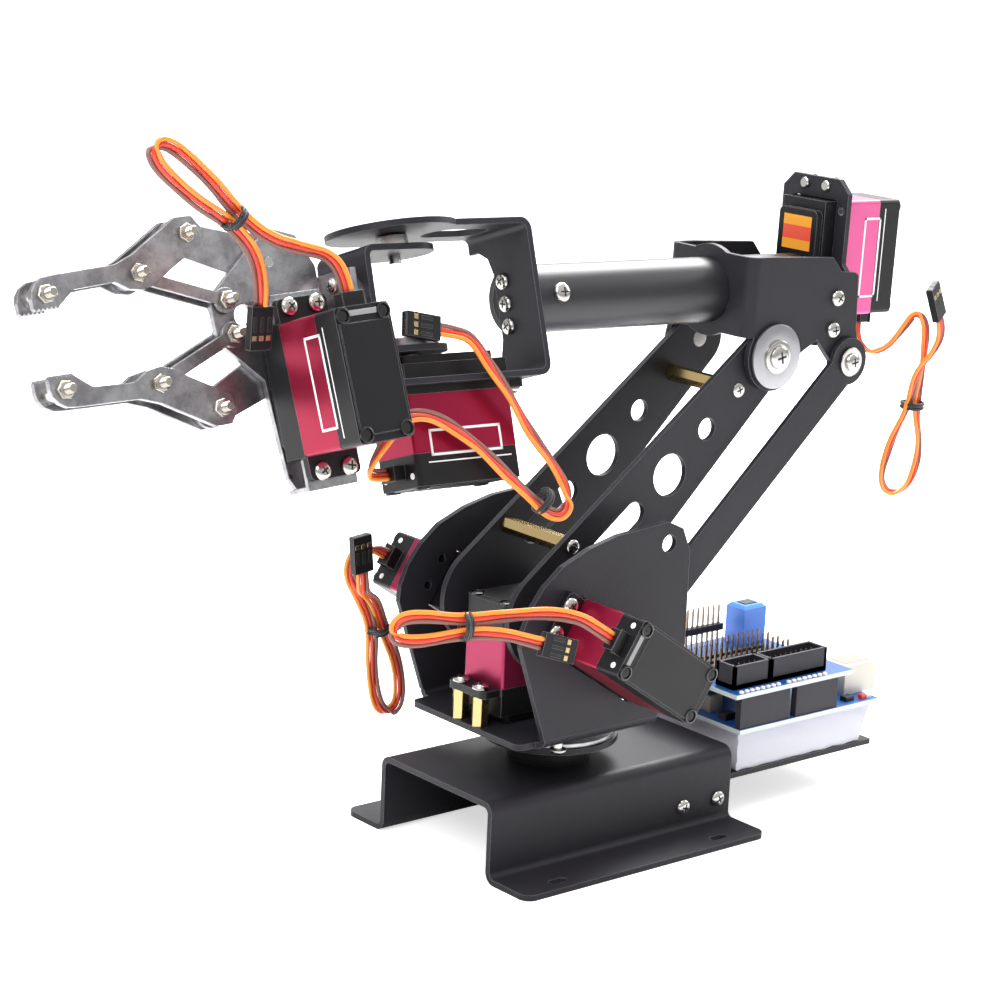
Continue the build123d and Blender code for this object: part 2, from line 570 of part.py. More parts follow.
# Wrist yoke, turning between the fork lugs
with BuildPart() as wrist_yoke:
    with BuildSketch(side(fore, 12.5)):
        with BuildLine():
            m = SHEET / 2
            FilletPolyline((0, YOKE_TOP - m), (-19.5, YOKE_TOP - m), (-19.5, YOKE_BOTTOM + m),
                           (0, YOKE_BOTTOM + m), radius=2.5)
        trace(line_width=SHEET)
    extrude(amount=25)
    disc(top(fore, YOKE_TOP - SHEET), [(0, 0)], 12.5, SHEET)
    disc(top(fore, YOKE_BOTTOM), [(0, 0)], 12.5, SHEET)
    disc(top(fore, YOKE_BOTTOM), [(0, 0)], SHAFT_RADIUS, SHEET, Mode.SUBTRACT)
    disc(top(fore, YOKE_TOP - SHEET), [(0, 0)], 2, SHEET, Mode.SUBTRACT)
save(wrist_yoke, "wrist_yoke")

with BuildPart() as wrist_discs:
    disc(top(fore, YOKE_BOTTOM + SHEET), [(0, 0)], 10, 3)
    disc(top(fore, FORK_BOTTOM + GEAR_CASE_HEIGHT - SHAFT_DEPTH + 0.3), [(0, 0)], SHAFT_RADIUS,
         YOKE_BOTTOM + SHEET - FORK_BOTTOM - GEAR_CASE_HEIGHT + SHAFT_DEPTH - 0.3)
    disc(front(fore, -23.5), [(0, 0)], 11, 3)
save(wrist_discs, "wrist_discs")

# Palm bracket: plate, two ear tabs on legs, rear wall on the flange disc
PALM_NEAR = 5.9
LOW_WALL = -GEAR_PITCH - CASE_LENGTH + SHAFT_OFFSET - 10
TAB_Y = -4.0
palm_plate = [(-5, 6.5), (-5, -6.5), (8.5, -20), (10, LOW_WALL + 5), (13, LOW_WALL), (24, LOW_WALL), (27, LOW_WALL + 5), (31, -20), (35, -12),
              (35, 12), (30, 22), (21, 25), (11, 19)]
grip_motor = Plane(origin=spot(grip, GEAR_X, TAB_Y, -GEAR_PITCH), x_dir=-grip.z_dir, z_dir=grip.y_dir)
gear_low = (GEAR_X, -GEAR_PITCH)
gear_high = (GEAR_X, GEAR_PITCH)
P_SPOTS = [PALM_PIVOT, (PALM_PIVOT[0], -PALM_PIVOT[1])]
with BuildPart() as palm_bracket:
    outline(side(grip, PALM_NEAR + SHEET), palm_plate, SHEET)
    upper_case = -GEAR_PITCH + SHAFT_OFFSET + 0.4
    lower_case = -GEAR_PITCH - CASE_LENGTH + SHAFT_OFFSET - 0.4
    for low, high, wall in ((upper_case, 4, 2.5), (LOW_WALL, lower_case, LOW_WALL)):
        block(side(grip, TAB_Y + 1.5), (GEAR_X, (low + high) / 2), (18, high - low), 1.5)
        block(side(grip, PALM_NEAR + 0.5), (GEAR_X, wall + 0.75), (18, 1.5), PALM_NEAR + 0.5 - TAB_Y)
    disc(grip_motor, ear_spots, BOLT_RADIUS, 1.5, Mode.SUBTRACT)
    disc(side(grip, PALM_NEAR + SHEET), P_SPOTS + [gear_high], BOLT_RADIUS, SHEET, Mode.SUBTRACT)
    with BuildSketch(front(fore, -25.5)):
        with Locations((-1.5, 0)):
            Rectangle(18.8, 22)
    extrude(amount=2)
    disc(side(grip, PALM_NEAR + SHEET), [gear_low], 6, SHEET, Mode.SUBTRACT)
    disc(side(grip, PALM_NEAR + SHEET), [(5.8, 0)], 3.5, SHEET, Mode.SUBTRACT)
save(palm_bracket, "palm_bracket")

save(motor_cases(grip_motor), "grip_motor_case")
save(motor_band(grip_motor), "grip_motor_band")

# Gripper layers along the gripper's own Y: jaw, link, palm, gear and link, jaw
JAW_NEAR = 2.0
LINK_NEAR = 4.2
GEAR_NEAR = 8.1
JAW_FAR = 10.3
LINK_SHEET = 1.5

with BuildPart() as palm_fasteners:
    ear_screws(grip_motor, 0, 1.7)
    pivot = Plane(origin=spot(fore, 0, 0, YOKE_TOP), x_dir=fore.x_dir, z_dir=fore.z_dir)
    disc(pivot, [(0, 0)], 5, FORK_TOP - SHEET - YOKE_TOP - 0.2)
    disc(pivot.offset(-4.5), [(0, 0)], 2, FORK_TOP - YOKE_TOP + 4.8)
    disc(pivot.offset(FORK_TOP - YOKE_TOP + 0.2), [(0, 0)], 3, 1.4)
    for at in P_SPOTS:
        disc(side(grip, 11.6), [at], BOLT_RADIUS, 12.4)
        disc(side(grip, LINK_NEAR - 0.1), [at], 2.9, 2.2)
        disc(side(grip, 12.2), [at], 2.9, 1.8)
    disc(side(grip, 11.6), [gear_high], BOLT_RADIUS, 11.6 - PALM_NEAR)
    disc(side(grip, 12.2), [gear_high], 2.9, 1.8)
    for z in (-7, 7):
        plane = Plane(origin=spot(fore, -25.5, -1, z), z_dir=-fore.x_dir)
        disc(plane, [(0, 0)], 2.4, 1.4)
save(palm_fasteners, "palm_fasteners")


def around(centre, r, degrees):
    a = math.radians(degrees)
    return (centre[0] + r * math.cos(a), centre[1] + r * math.sin(a))


# Gear sector: teeth only on the side that faces the other gear
def tooth_sector(centre, facing, first, plane):
    step = 360.0 / GEAR_TEETH
    inner = GEAR_PITCH - 1.7
    outer = GEAR_PITCH + 1.3
    with BuildSketch(plane) as flat:
        with Locations(centre):
            Circle(inner)
        with BuildLine():
            Polyline(centre, around(centre, 40, facing - 72), around(centre, 60, facing),
                     around(centre, 40, facing + 72), close=True)
        make_face(mode=Mode.INTERSECT)
        with Locations(centre):
            Circle(10)
        mid = first
        while mid <= -first:
            pts = []
            for r, half in ((inner - 0.5, 4.4), (GEAR_PITCH, 3.3), (outer, 1.9), (outer, -1.9), (GEAR_PITCH, -3.3),
                            (inner - 0.5, -4.4)):
                pts.append(around(centre, r, facing + mid + half))
            with BuildLine():
                Polyline(*pts, close=True)
            make_face()
            mid += step
    extrude(flat.sketch, amount=SHEET)


def flip(p, s):
    return (p[0], s * p[1])


JAW_PIVOT = (PALM_PIVOT[0] + LINK[0], PALM_PIVOT[1] + LINK[1])
ARM_END = (GEAR_X + LINK[0], GEAR_PITCH + LINK[1])


def gear_arm(s):
    centre = (GEAR_X, s * GEAR_PITCH)
    end = flip(ARM_END, s)
    plane = side(grip, GEAR_NEAR + SHEET)
    with BuildPart() as arm:
        tooth_sector(centre, -90 * s, -54 if s < 0 else -63, plane)
        bar(plane, (centre, end), (7, 5), SHEET)
        if s < 0:
            disc(side(grip, GEAR_NEAR), [centre], 5, GEAR_NEAR - TAB_Y - GEAR_CASE_HEIGHT - 0.3)
            disc(side(grip, TAB_Y + GEAR_CASE_HEIGHT + 0.3), [centre], SHAFT_RADIUS, SHAFT_DEPTH - 0.2)
        else:
            disc(plane, [centre], BOLT_RADIUS + PIN_CLEARANCE, SHEET, Mode.SUBTRACT)
        disc(plane, [end], BOLT_RADIUS + PIN_CLEARANCE, SHEET, Mode.SUBTRACT)
    return arm


save(gear_arm(1), "gear_arm_upper")
save(gear_arm(-1), "gear_arm_lower")


def jaw_outline():
    pts = [(-66.4, 13), (-66.3, 10)]
    for i in range(6):
        pts.append((-65.6 + i * 1.4, 9.2))
        pts.append((-64.9 + i * 1.4, 10))
    pts += [(-52.5, 14), (-38.5, 14.6), (-34, 12), (-29, 11.2), (-24.5, 12.6), (-20, 15.5), (-6.8, 22.5), (-5.5, 27),
            (-8.5, 31), (-14, 31), (-31, 21.8), (-37.5, 19.6), (-58.5, 18.9), (-61.8, 18.6),
            (-64.3, 17.2), (-65.9, 15.2)]
    return pts


def jaw(s):
    pts = [flip(p, s) for p in jaw_outline()]
    holes = [flip(ARM_END, s), flip(JAW_PIVOT, s), flip(JAW_TIP, s)]
    with BuildPart() as plates:
        for y in (JAW_NEAR + SHEET, JAW_FAR + SHEET):
            outline(side(grip, y), pts, SHEET)
    return plates


save(jaw(1), "jaw_upper")
save(jaw(-1), "jaw_lower")


def link(s):
    ends = (flip(PALM_PIVOT, s), flip(JAW_PIVOT, s))
    with BuildPart() as pair:
        for y, t, w in ((LINK_NEAR + LINK_SHEET, LINK_SHEET, 1.8), (GEAR_NEAR + SHEET, SHEET, 2.7)):
            bar(side(grip, y), ends, (w, w), t)
            disc(side(grip, y), ends, 3.9, t)
            disc(side(grip, y), ends, BOLT_RADIUS + PIN_CLEARANCE, t, Mode.SUBTRACT)
    return pair


save(link(1), "link_upper")
save(link(-1), "link_lower")


def jaw_bolts(s):
    with BuildPart() as bolts:
        for at, spacer in ((JAW_PIVOT, 0), (ARM_END, GEAR_NEAR - 0.1), (JAW_TIP, JAW_FAR)):
            here = flip(at, s)
            disc(side(grip, JAW_NEAR), [here], 2.9, 2.2)
            disc(side(grip, JAW_NEAR - 2.2), [here], BOLT_RADIUS, 1.8)
            disc(side(grip, JAW_FAR + SHEET + 1.8), [here], 2.9, 1.8)
            disc(side(grip, JAW_FAR), [here], BOLT_RADIUS, JAW_FAR - JAW_NEAR - SHEET)
            if spacer:
                disc(side(grip, spacer), [here], 2.8, spacer - JAW_NEAR - SHEET)
    return bolts


save(jaw_bolts(1), "jaw_upper_bolts")
save(jaw_bolts(-1), "jaw_lower_bolts")

# Leads, each a three wire cable folded into a tied hank with its plug
CORD_RADIUS = 1.5
near_route = [(-45, -57.5, 95), (-57, -56, 98), (-70, -53.5, 98.6), (-84, -50, 98.2), (-97, -45, 100.5),
              (-104, -42, 99.5), (-105, -41.5, 93.5), (-98, -44.5, 92), (-84, -50, 94.4), (-73, -55.5, 93.6)]
near = lead(near_motor, near_route, (-61, -58.5, 89.5), (0.9, -0.08, -0.32), (0.32, 0.1, 0.9),
            (-84, -50, 96.3), (-1, 0.33, 0))
save(near[0], "near_motor_lead")

far_route = [(-45.5, 57, 90), (-48, 58, 82), (-43, 57, 73), (-38, 56, 62), (-38, 56, 46), (-35, 56, 33), (-29.5, 56, 29.5),
             (-25, 56, 33.5), (-26.5, 56, 47), (-34, 56, 62), (-39, 54, 72), (-46, 51, 76.5)]
far = lead(far_motor, far_route, (-48.5, 49, 84.5), (-0.1, 0, 1), (1, 0, 0.1), (-36, 56, 61), (0.05, 0, -1))
save(far[0], "far_motor_lead")

with BuildPart() as turret_lead_plugs:
    add(near[1].part)
    add(far[1].part)
save(turret_lead_plugs, "turret_lead_plugs")

roll_route = [(136, -1.5, 151.5), (144, -3, 152.5), (149, -5, 159.5), (155, -5.5, 165.5), (161.5, -5.5, 160.5),
              (162, -5, 146), (159.4, -5, 131), (163.5, -5, 114), (160.5, -5, 102), (153, -5, 98.6), (145.8, -5, 101),
              (143.3, -5, 107.5), (148, -5, 119), (155.6, -5, 131), (156.5, -7, 144), (160.5, -10.5, 151)]
roll = lead(roll_motor, roll_route, (160.6, -12, 164), (-0.4, 0, 0.92), (0.85, 0.37, 0.37), (157.5, -5, 131), (0.1, 0, 1))
save(roll[0], "roll_motor_lead")
save(roll[1], "roll_lead_plug")

wrist_local = [(-24, -4, -49.5), (-23, -12, -43), (-17, -15.5, -35), (-5, -14.5, -35.5), (8, -14, -43.5),
               (18, -14, -53), (27.5, -13, -61.5), (36, -12, -69), (43, -12, -70.5), (46.5, -12, -64),
               (42, -12.5, -55), (33, -14, -45), (25, -16.5, -33), (17.5, -17.5, -22.5), (13, -16, -13)]
wrist_route = [spot(fore, *p) for p in wrist_local]
wrist = lead(wrist_motor, wrist_route, tuple(spot(fore, 2.5, -13.5, -9.6)),
             tuple(fore.x_dir * -1 + fore.z_dir * 0.2), tuple(fore.z_dir), tuple(spot(fore, 35, -12.5, -65)),
             tuple(fore.x_dir + fore.z_dir * -0.6))
save(wrist[0], "wrist_motor_lead")
save(wrist[1], "wrist_lead_plug")

grip_route = [(-120, -24.3, 207.5), (-128.5, -23, 209.5), (-138.6, -21.5, 212.6), (-148.9, -20, 220.3),
              (-158.4, -20, 230.9), (-174.2, -20, 243.1), (-178.8, -20, 237.5), (-163.4, -20, 224.7),
              (-151.1, -20, 217.7), (-141.5, -18, 208.8)]
clamp = lead(grip_motor, grip_route, (-135, -12.5, 191.5), (-0.05, 0, -1), tuple(grip.x_dir), (-150, -20, 219),
             (-0.78, 0, 0.627))
save(clamp[0], "grip_motor_lead")
save(clamp[1], "grip_lead_plug")

for name, made in (("near", near), ("far", far), ("roll", roll), ("wrist", wrist), ("grip", clamp)):
    print(name, "lead: smallest bend radius %.1f mm, length %.0f mm" % (made[2], made[3]))
print("elbow pivot", ELBOW, "rod top", ROD_TOP, "crank pin", CRANK_PIN)
for label, frame in (("elbow", elbow), ("fore", fore), ("grip", grip)):
    print(label, tuple(frame.origin), tuple(frame.x_dir), tuple(frame.y_dir), tuple(frame.z_dir))
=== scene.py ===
import math

import bmesh
import bpy
from mathutils import Matrix, Vector


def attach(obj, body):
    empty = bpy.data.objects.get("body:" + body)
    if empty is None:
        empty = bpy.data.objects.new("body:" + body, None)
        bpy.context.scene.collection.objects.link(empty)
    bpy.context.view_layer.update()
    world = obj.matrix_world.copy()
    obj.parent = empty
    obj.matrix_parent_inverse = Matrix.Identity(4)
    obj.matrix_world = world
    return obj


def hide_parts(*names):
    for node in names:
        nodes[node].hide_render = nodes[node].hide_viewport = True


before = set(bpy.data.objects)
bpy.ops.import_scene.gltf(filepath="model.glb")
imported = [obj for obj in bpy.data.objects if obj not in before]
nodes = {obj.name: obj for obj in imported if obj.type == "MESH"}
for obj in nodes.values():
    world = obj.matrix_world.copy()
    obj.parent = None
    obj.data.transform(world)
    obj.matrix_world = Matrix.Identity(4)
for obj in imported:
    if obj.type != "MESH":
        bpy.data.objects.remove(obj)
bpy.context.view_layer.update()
scene = bpy.context.scene
MM = 0.001

# Camera: a long lens at the photograph's place, a little above the arm and to its left,
# held with the photograph's slight roll.
AZIMUTH = math.radians(-40.0)
PITCH = math.radians(13.9)
ROLL = math.radians(2.49)
LENS_PLACE = (-0.59451, -0.67168, 0.33484)
right = Vector((math.cos(AZIMUTH), math.sin(AZIMUTH), 0))
forward = Vector(
    (-math.sin(AZIMUTH) * math.cos(PITCH), math.cos(AZIMUTH) * math.cos(PITCH), -math.sin(PITCH))
)
up = right.cross(forward)
cam_right = right * math.cos(ROLL) + up * math.sin(ROLL)
cam_up = up * math.cos(ROLL) - right * math.sin(ROLL)
camera = bpy.data.objects.new("camera", bpy.data.cameras.new("camera"))
scene.collection.objects.link(camera)
camera.data.sensor_width = 36
camera.data.lens = 100.8
camera.data.clip_start = 0.05
camera.data.clip_end = 20
camera.matrix_world = Matrix(
    (
        (cam_right.x, cam_up.x, -forward.x, LENS_PLACE[0]),
        (cam_right.y, cam_up.y, -forward.y, LENS_PLACE[1]),
        (cam_right.z, cam_up.z, -forward.z, LENS_PLACE[2]),
        (0, 0, 0, 1),
    )
)
scene.camera = camera
scene.view_settings.view_transform = "Standard"

# World: a white photo tent. The eye sees it plain white, gloss sees part of that white,
# and its light on the arm fades towards the table, as a tent's does.


def hex_colour(code):
    """sRGB hex to the linear colour that shaders use."""
    parts = [int(code[i : i + 2], 16) / 255 for i in (1, 3, 5)]
    return tuple(c / 12.92 if c <= 0.04045 else ((c + 0.055) / 1.055) ** 2.4 for c in parts) + (1.0,)


def add(tree, kind, settings=None, **inputs):
    """Adds a node with its settings, and its inputs by name or, as n0, n1, by number."""
    node = tree.nodes.new(kind)
    for key, value in (settings or {}).items():
        setattr(node, key, value)
    for key, value in inputs.items():
        socket = node.inputs[int(key[1:]) if key[1:].isdigit() else key.replace("_", " ")]
        if isinstance(value, bpy.types.NodeSocket):
            tree.links.new(value, socket)
        else:
            socket.default_value = value
    return node


TENT_LOW, TENT_HIGH = 0.22, 0.95
WHITE_IN_GLOSS = 0.35
world = bpy.data.worlds.new("studio")
scene.world = world
world.use_nodes = True
tree = world.node_tree
tree.nodes.clear()
path = add(tree, "ShaderNodeLightPath").outputs
clear = add(tree, "ShaderNodeMath", {"operation": "MAXIMUM"}, n0=path["Is Camera Ray"],
            n1=path["Is Transmission Ray"])
seen = add(tree, "ShaderNodeMath", {"operation": "MULTIPLY_ADD", "use_clamp": True},
           n0=path["Is Glossy Ray"], n1=WHITE_IN_GLOSS, n2=clear.outputs[0])
sky = add(tree, "ShaderNodeSeparateXYZ", Vector=add(tree, "ShaderNodeTexCoord").outputs["Generated"])
rise = add(tree, "ShaderNodeMapRange", Value=sky.outputs["Z"], From_Min=-0.1, From_Max=0.8,
           To_Min=TENT_LOW, To_Max=TENT_HIGH)
ambient = add(tree, "ShaderNodeBackground", Color=hex_colour("#ffffff"), Strength=rise.outputs[0])
white = add(tree, "ShaderNodeBackground", Color=hex_colour("#ffffff"), Strength=1.0)
tent = add(tree, "ShaderNodeMixShader", n0=seen.outputs[0], n1=ambient.outputs[0], n2=white.outputs[0])
add(tree, "ShaderNodeOutputWorld", Surface=tent.outputs[0])

# Floor: a sheet of white card. It glows a little to the eye alone, so that it meets the
# white behind it and still keeps the soft shadow under the feet.
CARD_HALF = 4
floor_mesh = bpy.data.meshes.new("floor")
floor_mesh.from_pydata(
    [(x * CARD_HALF, y * CARD_HALF, 0) for x, y in ((-1, -1), (1, -1), (1, 1), (-1, 1))],
    [],
    [(0, 1, 2, 3)],
)
floor = bpy.data.objects.new("floor", floor_mesh)
scene.collection.objects.link(floor)
card = bpy.data.materials.new("floor_card")
card.use_nodes = True
tree = card.node_tree
tree.nodes.clear()
body = add(tree, "ShaderNodeBsdfDiffuse", Color=hex_colour("#f4f4f4"))
glow = add(tree, "ShaderNodeEmission", Color=hex_colour("#ffffff"), Strength=0.62)
both = add(tree, "ShaderNodeAddShader", n0=body.outputs[0], n1=glow.outputs[0])
shown = add(tree, "ShaderNodeMixShader", n0=add(tree, "ShaderNodeLightPath").outputs["Is Camera Ray"],
            n1=body.outputs[0], n2=both.outputs[0])
add(tree, "ShaderNodeOutputMaterial", Surface=shown.outputs[0])
floor_mesh.materials.append(card)

# Lamps: square softboxes on the left, straight above, on the right and behind, all turned
# to the middle of the arm. The back one draws the light line along the forearm tube.
ARM_MIDDLE = Vector((-0.02, 0, 0.12))
for name, place, size, power in (
    ("key_lamp", (-1.1, -0.35, 1.3), 0.9, 18),
    ("top_lamp", (0.1, 0.25, 1.2), 0.7, 12),
    ("fill_lamp", (1.3, -0.2, 0.7), 0.6, 5),
    ("back_lamp", (0.72, 0.5, 0.95), 0.7, 22),
):
    lamp = bpy.data.objects.new(name, bpy.data.lights.new(name, "AREA"))
    lamp.data.size = size
    lamp.data.energy = power
    aim = ARM_MIDDLE - Vector(place)
    lamp.matrix_world = Matrix.Translation(place) @ aim.to_track_quat("-Z", "Y").to_matrix().to_4x4()
    scene.collection.objects.link(lamp)

# Channel, turret, arm plates, crank, rod, brackets, fork and yoke: steel sheet 2 mm thick,
# cut, punched and folded, then powder coated black and screwed together.
# The coat is fine-grained and half dull. Its edges are painted lighter, a painted highlight where they
# catch the light.
DAPPLE_SIZE = 16.6667
MOTTLE_SIZE = 7.6923


def finish(name, colour, roughness, metallic=0.0, gloss=0.5, coat=0.0, grain=None, edge=0.0,
           dapple=0.0, mottle=None, edge_highlight=None):
    """A procedural finish. Grain is a strength and a size and edge a radius, in millimetres; dapple varies
    the roughness, mottle the colour, and edge_highlight is a lighter colour painted on the edges as a
    painted highlight."""
    made = bpy.data.materials.new(name)
    made.use_nodes = True
    tree = made.node_tree
    shader = tree.nodes["Principled BSDF"].inputs
    shader["Base Color"].default_value = hex_colour(colour)
    shader["Roughness"].default_value = roughness
    shader["Metallic"].default_value = metallic
    shader["Coat Weight"].default_value = coat
    shader["Specular IOR Level"].default_value = gloss
    place = add(tree, "ShaderNodeTexCoord").outputs["Object"]
    normal = None
    if edge:
        normal = add(tree, "ShaderNodeBevel", Radius=edge * MM).outputs[0]
    # Painted highlight: the colour turns lighter at the edges, where the bevel turns the normal.
    if edge_highlight:
        turn = add(tree, "ShaderNodeVectorMath", {"operation": "DOT_PRODUCT"}, n0=normal,
                   n1=add(tree, "ShaderNodeNewGeometry").outputs["Normal"])
        share = add(tree, "ShaderNodeMapRange", Value=turn.outputs["Value"], From_Min=0.98, From_Max=0.8)
        blend = add(tree, "ShaderNodeMix", {"data_type": "RGBA"}, n0=share.outputs[0],
                    n6=hex_colour(colour), n7=hex_colour(edge_highlight))
        tree.links.new(blend.outputs[2], shader["Base Color"])
    # Real grain of 0.2 to 0.4 mm is too fine for the picture, so it is drawn coarser.
    if grain:
        strength, size = grain
        noise = add(tree, "ShaderNodeTexNoise", Vector=place, Scale=1 / (size * MM), Detail=3.0)
        bump = add(tree, "ShaderNodeBump", Height=noise.outputs["Fac"], Strength=strength,
                   Distance=0.2 * MM)
        if normal:
            tree.links.new(normal, bump.inputs["Normal"])
        normal = bump.outputs[0]
    if normal:
        tree.links.new(normal, shader["Normal"])
    if dapple:
        cloud = add(tree, "ShaderNodeTexNoise", Vector=place, Scale=1 / (DAPPLE_SIZE * MM), Detail=2.0)
        spread = add(tree, "ShaderNodeMapRange", Value=cloud.outputs["Fac"], To_Min=roughness - dapple,
                     To_Max=roughness + dapple)
        tree.links.new(spread.outputs[0], shader["Roughness"])
    if mottle:
        cloud = add(tree, "ShaderNodeTexNoise", Vector=place, Scale=1 / (MOTTLE_SIZE * MM), Detail=6.0,
                    Roughness=0.7)
        share = add(tree, "ShaderNodeMapRange", Value=cloud.outputs["Fac"], From_Min=0.38, From_Max=0.62)
        blend = add(tree, "ShaderNodeMix", {"data_type": "RGBA"}, n0=share.outputs[0],
                    n6=hex_colour(colour), n7=hex_colour(mottle))
        tree.links.new(blend.outputs[2], shader["Base Color"])
    return made


def dress(material, names):
    """Gives a finish to nodes that keep the shape of their solids."""
    for name in names.split():
        nodes[name].data.materials.clear()
        nodes[name].data.materials.append(material)


coat_black = finish("black_powder_coat", "#26252a", 0.46, gloss=0.24, grain=(0.3, 0.7143), edge=0.4,
                    dapple=0.05, edge_highlight="#77757c")
dress(coat_black, "base_channel turret_bracket arm_plate_near arm_plate_far crank tie_rod elbow_bracket")
dress(coat_black, "roll_motor_mount wrist_fork wrist_yoke")

# Forearm tube: drawn aluminium tube, anodised black and pinned to its two end plugs.
# It is smoother than the sheet, so the lamps leave a soft light line along it.
tube_black = finish("black_anodised", "#222125", 0.36, grain=(0.1, 0.7143), edge=0.3, dapple=0.03)
dress(tube_black, "forearm_tube")

# Tray, turntable ring and tube plugs: moulded black ABS, screwed or pressed in.
# Faintly textured, with edges painted lighter as a painted highlight. The motors' covers are the same.
case_black = finish("black_moulding", "#121114", 0.42, gloss=0.3, grain=(0.14, 1.4286), edge=0.3,
                    dapple=0.05, edge_highlight="#8c8c90")
dress(case_black, "controller_tray turntable_ring tube_plugs")

# Foam pad: a block of white polystyrene packing foam that the boards lie on, cut by hand,
# with one end leaning in towards the tray and slightly wavy sides.
# Its beads give a soft, fully matt white.


def new_mesh(name, verts, faces, materials, face_materials=None, smooth=False):
    """A mesh object in the scene, placed by its own vertices."""
    mesh = bpy.data.meshes.new(name)
    mesh.from_pydata([tuple(v) for v in verts], [], faces)
    for material in materials:
        mesh.materials.append(material)
    if face_materials:
        for face, index in zip(mesh.polygons, face_materials):
            face.material_index = index
    for face in mesh.polygons:
        face.use_smooth = smooth
    mesh.update()
    made = bpy.data.objects.new(name, mesh)
    scene.collection.objects.link(made)
    return made


def axes(origin, x_dir, z_dir):
    """Frame as (origin, x, y, z) from an origin in millimetres and two directions."""
    x = Vector(x_dir).normalized()
    z = Vector(z_dir).normalized()
    return Vector(origin), x, z.cross(x), z


def spot(axes_, x, y, z):
    """Point of a frame, in millimetres."""
    return axes_[0] + axes_[1] * x + axes_[2] * y + axes_[3] * z


def at(axes_, x, y, z):
    """Point of a frame, in metres."""
    return spot(axes_, x, y, z) * MM


CREASE = math.radians(32)


class Piece:
    """Faces gathered into one mesh, each with its own finish."""

    def __init__(self, name):
        self.name = name
        self.verts = []
        self.faces = []
        self.marks = []
        self.finishes = []

    def stack(self, rings, material):
        """Skins a stack of equal rings of points and closes both ends."""
        if material not in self.finishes:
            self.finishes.append(material)
        mark = self.finishes.index(material)
        start = len(self.verts)
        count = len(rings[0])
        for ring in rings:
            self.verts.extend(ring)
        for i in range(len(rings) - 1):
            for j in range(count):
                a = start + i * count + j
                b = start + i * count + (j + 1) % count
                self.faces.append((a, b, b + count, a + count))
        last = start + (len(rings) - 1) * count
        self.faces.append(tuple(start + j for j in range(count))[::-1])
        self.faces.append(tuple(last + j for j in range(count)))
        self.marks += [mark] * (len(self.faces) - len(self.marks))

    def turned(self, axes_, profile, material, sides=24, x=0, y=0):
        """A round or many-sided body from (radius, height) pairs about the frame's Z."""
        rings = []
        for radius, height in profile:
            ring = []
            for j in range(sides):
                angle = 2 * math.pi * (j + 0.5) / sides
                ring.append(at(axes_, x + radius * math.cos(angle), y + radius * math.sin(angle), height))
            rings.append(ring)
        self.stack(rings, material)

    def block(self, axes_, low, high, material, edge=0.25):
        """A box with its upper edges broken."""
        rings = []
        for height, inset in ((low[2], 0), (high[2] - edge, 0), (high[2], edge)):
            x0, x1, y0, y1 = low[0] + inset, high[0] - inset, low[1] + inset, high[1] - inset
            rings.append([at(axes_, x, y, height) for x, y in ((x0, y0), (x1, y0), (x1, y1), (x0, y1))])
        self.stack(rings, material)

    def tube(self, points, radius, material, sides=8):
        """A round wire along points in metres."""
        rings = []
        side_way = None
        for i, point in enumerate(points):
            tangent = (points[min(i + 1, len(points) - 1)] - points[max(i - 1, 0)]).normalized()
            side_way = side_way or tangent.orthogonal()
            side_way = (side_way - tangent * side_way.dot(tangent)).normalized()
            other = tangent.cross(side_way)
            ring = []
            for j in range(sides):
                angle = 2 * math.pi * j / sides
                ring.append(point + (side_way * math.cos(angle) + other * math.sin(angle)) * radius * MM)
            rings.append(ring)
        self.stack(rings, material)

    def done(self, body_name, slot_name, *replaced):
        """Makes the mesh, rides it on its body and hides the solids that it stands for."""
        made = new_mesh(self.name, self.verts, self.faces, self.finishes, self.marks, True)
        tidy = bmesh.new()
        tidy.from_mesh(made.data)
        bmesh.ops.recalc_face_normals(tidy, faces=tidy.faces)
        tidy.to_mesh(made.data)
        tidy.free()
        made.data.set_sharp_from_angle(angle=CREASE)
        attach(made, body_name)
        if replaced:
            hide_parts(*replaced)
        return made


FOAM_LOW = (59.0, -25.6, 16.0)
FOAM_HIGH = (125.0, 25.5)
FOAM_LAYERS = 8
FOAM_LAYER = 1.75
FOAM_LEAN = 5.5
FOAM_STEPS = 24
foam = finish("foam_white", "#cfcfd8", 0.9, grain=(0.9, 1.4286))
dress(foam, "foam_pad")
piece = Piece("foam_block")
rings = []
for level in range(FOAM_LAYERS + 1):
    z = FOAM_LOW[2] + level * FOAM_LAYER
    x0, y0 = FOAM_LOW[:2]
    x1, y1 = FOAM_HIGH[0] - FOAM_LEAN * (1 - level / FOAM_LAYERS), FOAM_HIGH[1]
    corners = ((x0, y0), (x1, y0), (x1, y1), (x0, y1))
    ring = []
    for (xa, ya), (xb, yb) in zip(corners, corners[1:] + corners[:1]):
        for k in range(FOAM_STEPS):
            x, y = xa + (xb - xa) * k / FOAM_STEPS, ya + (yb - ya) * k / FOAM_STEPS
            wave = 0.22 * math.sin(x * 1.9 + z * 2.3) + 0.18 * math.sin(y * 2.7 + z * 1.7 + x * 0.7)
            ring.append(Vector((x - (wave if yb != ya else 0), y + (wave if xb != xa else 0), z)) * MM)
    rings.append(ring)
piece.stack(rings, foam)
piece.done("base", "foam_white", "foam_pad")

